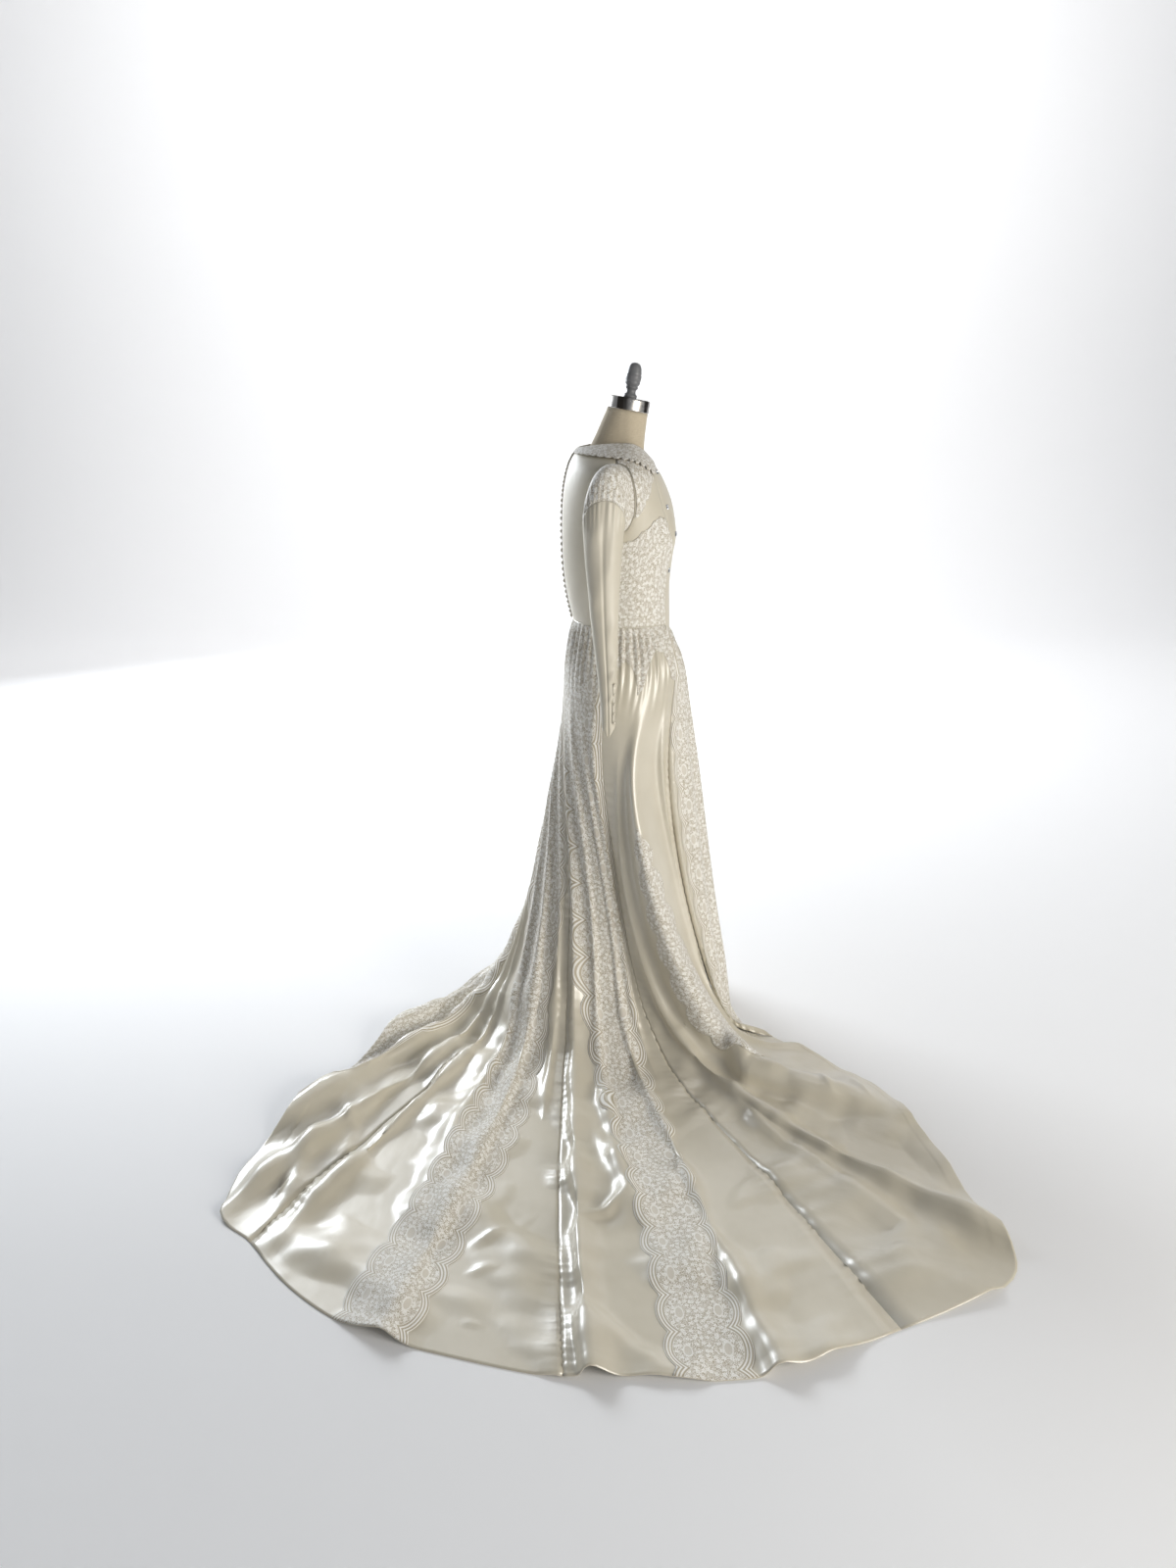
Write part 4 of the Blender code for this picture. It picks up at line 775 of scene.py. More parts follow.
# The sleeves: a cap of lace set into each armhole, and a long satin tube gathered to it,
# seamed down its middle and tapering to a wrist that ends in a point over the hand.
SLEEVE = (
    (-0.046, 0.184, 1.292, 0.043, 0.018, 0.076),
    (-0.050, 0.197, 1.262, 0.046, 0.028, 0.050),
    (-0.052, 0.204, 1.222, 0.043, 0.030, 0.022),
    (-0.053, 0.206, 1.175, 0.040, 0.030, 0.005),
    (-0.051, 0.209, 1.100, 0.034, 0.028, 0.000),
    (-0.048, 0.215, 1.005, 0.028, 0.024, 0.000),
    (-0.043, 0.224, 0.920, 0.021, 0.019, 0.000),
    (-0.041, 0.230, 0.860, 0.017, 0.016, 0.000),
    (-0.040, 0.233, 0.812, 0.015, 0.015, -0.016),
)
SLEEVE_LACE_END = 2.25
SLEEVE_HEAD = (0.982, 0.993)
SLEEVE_COLUMNS = 84
WRIST_ROW = float(len(SLEEVE))
WRIST_POINT = 0.010
WRIST_POINT_WIDTH = 0.42
WRIST_POINT_FROM = 8.0
WRIST_HEM = (8.78, 0.05, 0.0006)
SLEEVE_GATHERS = 24
SLEEVE_GATHER_HEIGHT = 0.0016
SLEEVE_GATHER_REACH = 0.75
SLEEVE_GATHER_START = (0.12, 0.25)
CAP_SEAM_SINK = 0.0010
CAP_SEAM_WIDTH = 0.06
SLEEVE_SEAM_TURN = math.radians(92)
SLEEVE_SEAM_WIDTH = 0.085
SLEEVE_SEAM_SINK = 0.0026
CREASE_LEAN = 0.25
# Drag lines of the sleeve: where the middle is, how far each runs along and round, and height
SLEEVE_CREASES = (
    # row  turn  tall  wide  height
    (3.3, 2.0, 0.40, 0.40, 0.0040),
    (3.6, 1.1, 0.60, 0.30, 0.0030),
    (4.4, 1.3, 0.30, 0.50, 0.0028),
    (5.2, 2.3, 0.25, 0.50, 0.0032),
    (5.8, 1.0, 0.22, 0.45, 0.0030),
    (6.5, 0.6, 0.16, 0.50, 0.0040),
    (7.0, 0.9, 0.14, 0.55, 0.0042),
    (7.4, 0.5, 0.12, 0.50, 0.0036),
    (7.8, 1.2, 0.12, 0.60, 0.0026),
)


def sleeve(turn, row):
    """A point of the right sleeve. Row 0 lies in the armhole, the last is the wrist."""
    share = ARMHOLE_SHARE - SLEEVE_HEAD[0] * ARMHOLE_HALF * np.cos(turn)
    level = ARMHOLE_MIDDLE + SLEEVE_HEAD[1] * ARMHOLE_TALL * np.sin(turn)
    rings = [bodice(share, level)]
    for x, y, z, half, deep, rise in SLEEVE:
        ring = [x + half * np.cos(turn), -(y + deep * np.sin(turn)), z + rise * np.sin(turn)]
        rings.append(np.stack(ring, axis=1))
    point = along_rows(np.array(rings), row)
    off = (np.mod(turn, 2 * math.pi) - 0.5 * math.pi) / WRIST_POINT_WIDTH
    point[:, 2] -= WRIST_POINT * np.exp(-(off**2)) * ease(row - WRIST_POINT_FROM)
    return point


def sleeve_points(first_row, last_row, rows):
    """A grid of the sleeve with its gathers, seam and drag lines."""
    turn = np.linspace(0.0, 2 * math.pi, SLEEVE_COLUMNS + 1)[None, :]
    row = np.linspace(first_row, last_row, rows + 1)[:, None]
    points = shaped(sleeve, turn, row)
    out = grid_facing(points)
    out[:, 0] = out[:, -1] = unit(out[:, 0] + out[:, -1])
    from_cap = row - SLEEVE_LACE_END
    fading = np.exp(-((from_cap / SLEEVE_GATHER_REACH) ** 2))
    fading = fading * ease(np.abs(from_cap) / SLEEVE_GATHER_START[0] + SLEEVE_GATHER_START[1])
    rise = SLEEVE_GATHER_HEIGHT * fading * np.cos(SLEEVE_GATHERS * turn + 1.5 * np.sin(3 * turn))
    rise = rise - CAP_SEAM_SINK * np.exp(-((from_cap / CAP_SEAM_WIDTH) ** 2))
    for middle, side, tall, wide, height in SLEEVE_CREASES:
        lean = row - middle - CREASE_LEAN * np.sin(turn - side)
        off_turn = np.mod(turn - side + math.pi, 2 * math.pi) - math.pi
        rise = rise + height * np.exp(-((lean / tall) ** 2) - (off_turn / wide) ** 2)
    seam_off = (turn - SLEEVE_SEAM_TURN) / SLEEVE_SEAM_WIDTH
    rise = rise - SLEEVE_SEAM_SINK * np.exp(-(seam_off**2)) * (row > SLEEVE_LACE_END)
    hem_row, hem_over, hem_height = WRIST_HEM
    rise = rise + hem_height * ease((row - hem_row) / hem_over)
    return points + out * rise[:, :, None]


sheet_pair(
    "lace_cap", sleeve_points(0.0, SLEEVE_LACE_END, 40), flat_lace, "sleeve_lace", "ivory_lace",
    (0.30, 0.15, 0.026), "hung", "side_front_panel_SIDE", closed=True, thick=LACE_WALL,
)
sheet_pair(
    "satin_sleeve", sleeve_points(SLEEVE_LACE_END, WRIST_ROW, 130), bodice_satin, "sleeve",
    "ivory_satin", (0.24, 0.44, 0.078), "hung", "lace_cap_SIDE", closed=True, thick=SATIN_WALL,
)


# The fastenings: small domes covered in the dress's own satin, each held by a rouleau loop,
# sewn down the centre back over a narrow placket and in a short row at each wrist.
BACK_BUTTONS = 36
BACK_BUTTON_LEVELS = (8.6, 0.2)
BACK_BUTTON_RADIUS = 0.0045
CUFF_BUTTONS = 5
CUFF_BUTTON_ROWS = (7.3, 8.7)
CUFF_BUTTON_TURN = math.radians(45)
CUFF_BUTTON_RADIUS = 0.0030
BUTTON_FLAT = 0.62
BUTTON_SEAT = 0.42
LOOP_CORD = 0.0007
LOOP_OUT = 1.12
LOOP_LIFT = 0.0012
LOOP_SWEEP = math.radians(210)
PLACKET_HALF = 0.0065
PLACKET_LIFT = 0.0009
PLACKET_WALL = 0.0008
BUTTON_LIFT = 0.0005


def placed(at, out, down):
    """The turn and place that put +Z outwards and +Y down the cloth."""
    z = Vector(out).normalized()
    x = Vector(down).cross(z).normalized()
    turn = Matrix((x, z.cross(x), z)).transposed().to_4x4()
    return Matrix.Translation(Vector(at)) @ turn


def covered_button(bm, place, radius):
    """A domed button with a rouleau loop round its shank, on the cloth at the place."""
    dome = bmesh.ops.create_uvsphere(bm, u_segments=16, v_segments=10, radius=radius)["verts"]
    for vert in dome:
        vert.co.z = vert.co.z * BUTTON_FLAT + BUTTON_SEAT * radius
        vert.co = place @ vert.co
    cord = bmesh.ops.create_circle(bm, segments=6, radius=LOOP_CORD)["verts"]
    for vert in cord:
        vert.co = Vector((vert.co.x + LOOP_OUT * radius, 0.0, vert.co.y + LOOP_LIFT))
    edges = list(dict.fromkeys(edge for vert in cord for edge in vert.link_edges))
    bmesh.ops.spin(bm, geom=cord + edges, axis=(0, 0, 1), cent=(0, 0, 0), angle=LOOP_SWEEP, steps=12)
    spun = set(cord)
    for vert in cord:
        grown = [vert]
        while grown:
            here = grown.pop()
            for edge in here.link_edges:
                other = edge.other_vert(here)
                if other not in spun:
                    spun.add(other)
                    grown.append(other)
    for vert in spun:
        vert.co = place @ vert.co


def button_row(form, facing_of, u, start, end, count, radius, name):
    """A placket strip down a form at u, with its covered buttons and loops."""
    rows = np.linspace(start - 0.1 * (end - start) / count, end, 4 * count + 1)
    line = np.full(len(rows), u)
    centre = form(line, rows)
    out = facing_of(line, rows)
    along = unit(np.gradient(centre, axis=0))
    across = unit(np.cross(out, along))
    bm = bmesh.new()
    bm.loops.layers.uv.new("cut")
    half = PLACKET_HALF * radius / BACK_BUTTON_RADIUS
    sides = []
    for side in (-half, half):
        rail = [bm.verts.new(spot) for spot in centre + out * PLACKET_LIFT + across * side]
        sides += [bm.edges.new(pair) for pair in zip(rail, rail[1:])]
    bmesh.ops.bridge_loops(bm, edges=sides)
    bmesh.ops.solidify(bm, geom=bm.faces[:], thickness=-PLACKET_WALL)
    bmesh.ops.recalc_face_normals(bm, faces=bm.faces)
    at = np.linspace(start, end, count)
    line = np.full(count, u)
    order = np.argsort(rows)
    downs = np.stack([np.interp(at, rows[order], along[order, axis]) for axis in range(3)], axis=1)
    for seat, away, down in zip(form(line, at), facing_of(line, at), downs):
        covered_button(bm, placed(seat + away * (PLACKET_LIFT + BUTTON_LIFT), away, down), radius)
    return kept(bm, name, satin)


def sleeve_facing(turn, row):
    """Outward normals of the right sleeve."""
    step = 0.05
    across = sleeve(turn + step, row) - sleeve(turn - step, row)
    above, below = np.clip(row - step, 0, WRIST_ROW), np.clip(row + step, 0, WRIST_ROW)
    return unit(np.cross(across, sleeve(turn, below) - sleeve(turn, above)))


back_row = button_row(
    bodice, bodice_facing, 0.5, *BACK_BUTTON_LEVELS, BACK_BUTTONS, BACK_BUTTON_RADIUS,
    "back_button_row",
)
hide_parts("back_buttons")
cuff_row = button_row(
    sleeve, sleeve_facing, CUFF_BUTTON_TURN, *CUFF_BUTTON_ROWS, CUFF_BUTTONS, CUFF_BUTTON_RADIUS,
    "cuff_button_row_right",
)
for piece, side in ((cuff_row, "right"), (mirrored(cuff_row, "cuff_button_row_left"), "left")):
    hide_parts("cuff_buttons_" + side)


# The ornaments: four small flowers of clear rhinestones in silver settings, sewn one above
# another by the right seam of the centre front panel. Each has four long stones with a bead
# between each two, and a round stone in the middle.
ORNAMENTS = ((0.082, 7.3), (0.094, 5.3), (0.080, 4.0), (0.066, 2.44))
PETALS = 4
PETAL_LONG = 0.0030
PETAL_WIDE = 0.0016
PETAL_OUT = 0.0042
ROUND_STONE = 0.0019
BEAD_SIZE = (0.0009, 0.0009, 0.0016)
SETTING_WALL = 0.0005
SETTING_LIFT = 0.0002
PETAL_HEIGHTS = (0.0011, 0.0013, 0.0008)
ROUND_HEIGHTS = (0.0016, 0.0016, 0.0014)
SILVER_COLOUR = (0.30, 0.30, 0.31)
SILVER_ROUGHNESS = (0.15, 0.40)
STONE_COLOUR = (0.55, 0.57, 0.60)
STONE_ROUGHNESS = (0.02, 0.10)

silver, tree, shader = finish("silver_setting", SILVER_COLOUR, roughness=0.30, metallic=1.0)
tarnish = noise(tree, object_place(tree), 900.0)
tree.links.new(between(tree, tarnish, 0.35, 0.7, *SILVER_ROUGHNESS), shader.inputs["Roughness"])
stone, tree, shader = finish("clear_rhinestone", STONE_COLOUR, roughness=0.05, metallic=0.85)
facets = noise(tree, object_place(tree), 1500.0, detail=1.0)
tree.links.new(between(tree, facets, 0.4, 0.6, *STONE_ROUGHNESS), shader.inputs["Roughness"])


def cut_stone(bm, size, place, material_index):
    """A faceted stone of a length, width and height: an eight-sided cone with a flat table."""
    made = bmesh.ops.create_cone(bm, cap_ends=True, segments=8, radius1=1.0, radius2=0.5, depth=1.0)
    for vert in made["verts"]:
        vert.co = place @ Matrix.Diagonal((*size, 1.0)) @ (vert.co + Vector((0, 0, 0.5)))
    for face in {face for vert in made["verts"] for face in vert.link_faces}:
        face.material_index = material_index


def set_stone(bm, long, wide, heights, place):
    """A stone in its setting, from their two heights and how high the stone stands."""
    cut_stone(bm, (long + SETTING_WALL, wide + SETTING_WALL, heights[0]), place, 0)
    cut_stone(bm, (long, wide, heights[1]), place @ Matrix.Translation((0, 0, heights[2])), 1)


for number, (share, level) in enumerate(ORNAMENTS):
    at = np.array([share]), np.array([level])
    seat, out = bodice(*at)[0], bodice_facing(*at)[0]
    place = placed(seat + out * SETTING_LIFT, out, (0.0, 0.0, -1.0))
    bm = bmesh.new()
    for petal in range(PETALS):
        away = Matrix.Translation((PETAL_OUT, 0, 0))
        turn = Matrix.Rotation(2 * math.pi * (petal + 0.5) / PETALS, 4, "Z")
        set_stone(bm, PETAL_LONG, PETAL_WIDE, PETAL_HEIGHTS, place @ turn @ away)
        turn = Matrix.Rotation(2 * math.pi * petal / PETALS, 4, "Z")
        cut_stone(bm, BEAD_SIZE, place @ turn @ away, 1)
    set_stone(bm, ROUND_STONE, ROUND_STONE, ROUND_HEIGHTS, place)
    ornament = kept(bm, "rhinestone_flower_" + str(number + 1), silver, smooth=False)
    ornament.data.materials.append(stone)
    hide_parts("front_ornament_" + str(number + 1))


# The skirt: five gores of satin, gathered to the waist seam and cut so long behind that the
# back ones run out over the floor as a train. It hangs in long folds and lands in a sweep.
WAIST = (0.107, 0.119, 0.121)
YOKE_Z = 0.958
YOKE = (0.131, 0.128, 0.146)
YOKE_DIP = 0.7
HIP_Z = 0.885
HIP = (0.149, 0.143, 0.183)
GORE_SHARE = 0.2
GORE_NAMES = ("front", "right_side", "right_back", "left_back", "left_side")
HALF_WAY = 0.45
GATHERS = 50
GATHER_HEIGHT = 0.0032
GATHER_LEVELS = (0.6, 0.8, 2.6)
GATHER_LEAST = 0.35
FLOOR_CLEAR = 0.0004
FLOOR_SOFT = 0.004

# Where each line of the skirt runs, in millimetres: its share of the waist in thousandths, from
# the centre front by the wearer's right, then x and y at three heights, where it lands, half way
# and at the hem, and the height at which it lands.
GUIDE_HEIGHTS = (0.72, 0.47, 0.25)
GUIDES = (
    # at x72 y72 x47 y47 x25 y25 xland yland xmid ymid xhem yhem zland
    (0, 170, 0, 205, 0, 234, 0, 254, 0, 264, 0, 272, 0, 130),
    (50, 144, -75, 177, -78, 212, -86, 247, -98, 265, -103, 282, -108, 100),
    (100, 88, -138, 120, -128, 170, -142, 250, -170, 310, -180, 370, -185, 20),
    (150, 46, -168, 98, -170, 146, -195, 250, -235, 370, -290, 500, -320, 0),
    (200, 2, -186, 42, -212, 98, -246, 225, -320, 400, -420, 605, -520, 0),
    (250, -30, -184, -4, -196, 40, -230, 160, -330, 400, -620, 668, -840, 0),
    (285, -52, -176, -18, -176, 18, -206, 100, -310, 330, -680, 640, -1055, 0),
    (300, -62, -172, -26, -168, 8, -200, 75, -300, 255, -680, 445, -1145, 0),
    (350, -88, -156, -46, -172, -10, -204, 18, -285, 150, -720, 270, -1230, 0),
    (400, -108, -134, -70, -170, -40, -206, -34, -290, 65, -735, 120, -1255, 0),
    (450, -128, -104, -100, -156, -82, -200, -85, -305, -40, -760, -10, -1250, 0),
    (500, -142, -68, -130, -134, -132, -182, -138, -310, -150, -770, -125, -1250, 0),
    (550, -152, -22, -154, -104, -172, -154, -190, -290, -245, -720, -310, -1205, 0),
    (600, -156, 26, -176, -64, -212, -116, -245, -270, -345, -665, -470, -1150, 0),
    (650, -148, 72, -187, -12, -236, -62, -285, -225, -430, -580, -600, -1060, 0),
    (700, -128, 114, -184, 46, -238, 0, -310, -160, -490, -470, -715, -930, 0),
    (725, -112, 132, -176, 76, -236, 34, -322, -110, -520, -400, -800, -820, 0),
    (750, -94, 150, -162, 106, -228, 70, -328, -50, -500, -240, -735, -530, 0),
    (775, -76, 164, -146, 132, -214, 104, -322, 20, -450, -90, -600, -250, 0),
    (800, -56, 176, -124, 156, -192, 138, -296, 92, -380, 50, -470, 0, 0),
    (850, -8, 190, -64, 192, -122, 196, -190, 202, -225, 205, -260, 208, 20),
    (900, 60, 166, 24, 200, -6, 224, -30, 240, -44, 247, -60, 255, 100),
    (950, 136, 92, 144, 126, 154, 150, 160, 170, 165, 177, 170, 184, 130),
)

# Folds: share of the waist at the top and at the hem and half widths there in thousandths, height
# in millimetres, how far the crest leans towards the back, and the levels between which it runs
FOLDS = (
    # top, hem, its two half widths, height, lean, from, to
    (30, 30, 12, 14, 12, 0.0, 1.8, 9.0),
    (62, 58, 10, 12, 13, 0.0, 2.0, 9.0),
    (92, 90, 9, 10, 16, 0.3, 1.9, 9.0),
    (122, 120, 10, 10, 16, 0.4, 1.9, 9.0),
    (190, 188, 22, 24, 42, 0.9, 2.0, 8.6),
    (234, 262, 12, 8, 30, 0.5, 2.6, 9.0),
    (330, 330, 13, 6, 14, 0.0, 1.8, 6.4),
    (372, 362, 10, 8, 20, 0.3, 2.2, 9.0),
    (420, 440, 11, 7, 16, 0.0, 2.0, 7.6),
    (478, 476, 10, 10, 30, 0.6, 2.2, 9.0),
    (520, 530, 9, 6, 16, 0.0, 2.0, 7.0),
    (575, 590, 10, 10, 22, -0.4, 2.2, 9.0),
    (628, 625, 10, 6, 16, 0.0, 2.0, 7.2),
    (672, 690, 10, 7, 26, 0.0, 2.2, 8.4),
    (716, 722, 10, 6, 34, 0.0, 2.2, 8.7),
    (752, 752, 11, 8, 42, 0.0, 2.2, 8.8),
    (790, 782, 11, 8, 44, 0.0, 2.2, 9.0),
    (835, 835, 12, 13, 22, 0.0, 2.0, 9.0),
    (872, 872, 11, 13, 20, 0.0, 2.0, 9.0),
    (912, 912, 11, 13, 18, 0.0, 2.0, 9.0),
    (945, 945, 10, 12, 14, 0.0, 2.0, 9.0),
    (975, 975, 10, 12, 12, 0.0, 1.8, 9.0),
)
STEEPEST = 1.3
FOLD_SHAPE = 1.8
FOLD_START = 1.6
FOLD_END = 1.2

# Creases of the train, in millimetres: three points on the floor, half width, height or, below 0,
# depth, and how wide the steeper side is beside the other
CREASES = (
    # x0 y0 x1 y1 x2 y2, half width, height, steep
    (188, -236, 280, -410, 600, -545, 45, 30, 0.4),
    (239, -312, 290, -400, 378, -421, 20, 14, 1.0),
    (198, -376, 294, -576, 430, -750, 22, 14, 0.8),
    (380, -690, 515, -880, 470, -1104, 24, 14, 0.7),
    (-77, -565, -25, -699, 42, -946, 18, 12, 1.0),
    (-311, -256, -383, -673, -463, -1097, 30, 16, 1.0),
    (-93, -860, -51, -852, -8, -790, 12, 14, 1.0),
    (-134, -1094, -44, -1162, 56, -1255, 22, 8, 1.0),
    (-303, -946, -270, -922, -242, -897, 8, 6, 1.0),
    (-313, -1022, -283, -1005, -254, -992, 8, 5, 1.0),
    (-219, -891, -190, -855, -162, -820, 14, 6, 1.0),
    (-302, -1129, -283, -1135, -264, -1140, 9, 5, 1.0),
    (-653, -576, -677, -744, -704, -924, 18, 14, 1.0),
    (-633, -464, -586, -576, -587, -679, 14, 9, 1.0),
    (-451, -343, -415, -430, -422, -576, 30, 10, 1.0),
    (423, -360, 440, -420, 458, -480, 9, 8, 1.0),
    (511, -393, 525, -440, 540, -495, 9, 8, 1.0),
    (454, -712, 602, -790, 647, -924, 34, 12, 1.0),
    (554, -863, 597, -997, 614, -1083, 28, 14, 1.0),
    (466, -1129, 510, -1125, 559, -1124, 9, 5, 1.0),
    (123, -728, 168, -940, 140, -1120, 22, -10, 1.0),
    (-472, -215, -508, -425, -547, -656, 24, -16, 1.0),
    (-688, -590, -705, -790, -720, -956, 22, -12, 1.0),
)
CREASE_ROLL = 0.8
CREASE_ENDS = (0.04, 0.96, 0.7)
LYING_CREASED = (0.13, 0.08)
LYING_LOOSE = (0.30, 0.25)
HANGING_LOOSE = 0.25
BELOW_HIPS = (2.0, 1.5)
# Ripples that the floor and the weight of the cloth put in it: length, heading, height, start
RIPPLES = (
    (0.310, 0.4, 0.0060, 0.3), (0.230, 1.3, 0.0045, 1.1), (0.160, 2.2, 0.0030, 2.5),
    (0.110, 0.9, 0.0018, 4.0), (0.075, 2.8, 0.0010, 0.9), (0.050, 1.8, 0.0005, 3.3),
)
PUCKER_PITCH = 0.021
PUCKER_HEIGHT = 0.0011
PUCKER_REACH = 0.028
HEM_DEEP = 0.020
HEM_EDGE = 0.004
HEM_STEP = 0.0009
GORE_COLUMNS, GORE_ROWS = 60, 300
# The cut of each gore and of its lace band: width, length and area
GORE_CUTS = {
    "front": (0.62, 1.05, 0.46), "right_side": (1.05, 1.75, 0.64), "right_back": (0.75, 2.05, 0.61),
    "left_back": (0.75, 2.10, 0.68), "left_side": (1.05, 1.85, 0.62),
}
HIP_CUT = (0.18, 0.13, 0.020)
BAND_CUTS = {
    "front": (0.44, 1.05, 0.38), "right_side": (0.16, 0.95, 0.075), "right_back": (0.26, 2.05, 0.295),
    "left_back": (0.26, 2.10, 0.335), "left_side": (0.30, 1.60, 0.35),
}


def round_table(shares, rows, share):
    """Smooth values of a table that closes on itself, with one row a share of the turn."""
    share = np.mod(share, 1.0)
    knots = np.concatenate([shares - 1.0, shares, shares + 1.0])
    values = np.concatenate([rows, rows, rows])
    slopes = np.gradient(values, knots, axis=0)
    at = np.clip(np.searchsorted(knots, share, side="right") - 1, 0, len(knots) - 2)
    step = (knots[at + 1] - knots[at])[:, None]
    f = ((share - knots[at])[:, None]) / step
    start = values[at] * (2 * f**3 - 3 * f**2 + 1) + slopes[at] * step * (f**3 - 2 * f**2 + f)
    end = values[at + 1] * (3 * f**2 - 2 * f**3) + slopes[at + 1] * step * (f**3 - f**2)
    return start + end


GUIDE_TABLE = np.array(GUIDES) / 1000.0


def oval(share, sizes, height):
    """Points of a ring with its own depths to the front and back."""
    turn = -2 * math.pi * share
    front, back, side = sizes
    depth = np.where(np.cos(turn) > 0, front, back)
    return np.stack([depth * np.cos(turn), side * np.sin(turn), height], axis=1)


def skirt_base(share, level):
    """The skirt's form without folds. Level 0 is the waist, 8 the hem."""
    guide = round_table(GUIDE_TABLE[:, 0], GUIDE_TABLE[:, 1:], share)
    flat = np.full(len(share), SATIN_WALL + FLOOR_CLEAR)
    dip = waist_drop(share)
    rows = [oval(share, WAIST, WAIST_Z - dip), oval(share, YOKE, YOKE_Z - YOKE_DIP * dip)]
    rows.append(oval(share, HIP, HIP_Z + 0 * share))
    lands = np.maximum(guide[:, 12], 0.0)
    heights = [height + 0 * share for height in GUIDE_HEIGHTS]
    heights += [flat + lands, flat + HALF_WAY * lands, flat]
    for place, height in enumerate(heights):
        rows.append(np.stack([guide[:, 2 * place], guide[:, 2 * place + 1], height], axis=1))
    return along_rows(np.array(rows), level)


def fold_height(share, level, cloth):
    """Height and sideways lean of the folds, and of the gathers under the waist.

    cloth is the metres of cloth for one whole share there, which limits how steep a fold is.
    """
    rise = np.zeros(len(share))
    lean = np.zeros(len(share))
    down = np.clip(level / 8.0, 0.0, 1.0)
    for *sizes, slant, start, end in FOLDS:
        top, hem, wide0, wide1, height = (size / 1000.0 for size in sizes)
        middle = top + (hem - top) * down
        width = wide0 + (wide1 - wide0) * down
        off = np.mod(share - middle + 0.5, 1.0) - 0.5
        shape = np.exp(-(np.abs(off / width) ** FOLD_SHAPE))
        grow = ease((level - start) / FOLD_START) * (1 - ease((level - end + FOLD_END) / FOLD_END))
        lift = np.minimum(height, STEEPEST * width * cloth) * grow * shape
        rise += lift
        lean += slant * lift
    full, start, end = GATHER_LEVELS
    fade = ease(level / full) * (1 - GATHER_LEAST) + GATHER_LEAST
    fade *= 1 - ease((level - start) / (end - start))
    waves = 2 * math.pi * GATHERS * share
    rise += GATHER_HEIGHT * fade * (np.cos(waves) + 0.35 * np.sin(1.5 * waves + 2 * np.sin(waves / 7)))
    return rise, lean


def skirt(share, level):
    """A point of the skirt's outer face."""
    ds, dl = 0.004, 0.02
    low = np.clip(level - dl, 0, 8)
    high = np.clip(level + dl, 0, 8)
    step = skirt_base(share + ds, level) - skirt_base(share - ds, level)
    across = unit(step)
    out = unit(np.cross(across, unit(skirt_base(share, high) - skirt_base(share, low))))
    cloth = np.linalg.norm(step, axis=1) / (2 * ds)
    rise, lean = fold_height(share, level, cloth)
    point = skirt_base(share, level) + out * rise[:, None] + across * lean[:, None]
    lowest = SATIN_WALL + FLOOR_CLEAR
    over = point[:, 2] - lowest
    point[:, 2] = lowest + 0.5 * (over + np.sqrt(over**2 + FLOOR_SOFT**2)) - 0.5 * FLOOR_SOFT * (over > 0.1)
    return point


def crease_shift(points):
    """How far the creases move each point: up, and over towards their steeper side."""
    moved = np.zeros(points.shape)
    lying = ease((LYING_CREASED[0] - points[:, :, 2]) / LYING_CREASED[1])
    first, last, fullness = CREASE_ENDS
    for *sizes, steep in CREASES:
        x0, y0, x1, y1, x2, y2, width, height = (size / 1000.0 for size in sizes)
        nearest = np.full(points.shape[:2], 9.0)
        way = np.zeros(points.shape[:2])
        wide = np.full(points.shape[:2], width)
        over = np.zeros(points.shape[:2] + (2,))
        for number, (start, end) in enumerate((((x0, y0), (x1, y1)), ((x1, y1), (x2, y2)))):
            a = np.array(start)
            run = np.array(end) - a
            t = np.clip(((points[:, :, :2] - a) @ run) / (run @ run), 0.0, 1.0)
            away = points[:, :, :2] - a - t[:, :, None] * run
            off = np.linalg.norm(away, axis=2)
            closer = off < nearest
            right = run[0] * away[:, :, 1] - run[1] * away[:, :, 0] < 0
            wide = np.where(closer, np.where(right, width * steep, width), wide)
            way = np.where(closer, 0.5 * (number + t), way)
            over[closer] = np.array((run[1], -run[0])) / np.linalg.norm(run)
            nearest = np.minimum(nearest, off)
        ends = np.sin(math.pi * np.clip(way, first, last)) ** fullness
        rise = height * np.exp(-((nearest / wide) ** 2)) * ends * lying
        moved[:, :, 2] += rise
        moved[:, :, :2] += over * (CREASE_ROLL * (1 - steep) * rise)[:, :, None]
    return moved


def ripple_rise(points, loose):
    """Height of the ripples at each point, where loose says how freely the cloth lies."""
    x, y, z = points[:, :, 0], points[:, :, 1], points[:, :, 2]
    bent_x = x + 0.05 * np.sin(7.0 * y + 1.0) + 0.4 * z
    bent_y = y + 0.06 * np.sin(6.0 * x + 2.0)
    rise = np.zeros(points.shape[:2])
    for length, heading, height, start in RIPPLES:
        along = bent_x * math.cos(heading) + bent_y * math.sin(heading)
        rise += height * np.sin(2 * math.pi * along / length + start)
    return rise * loose


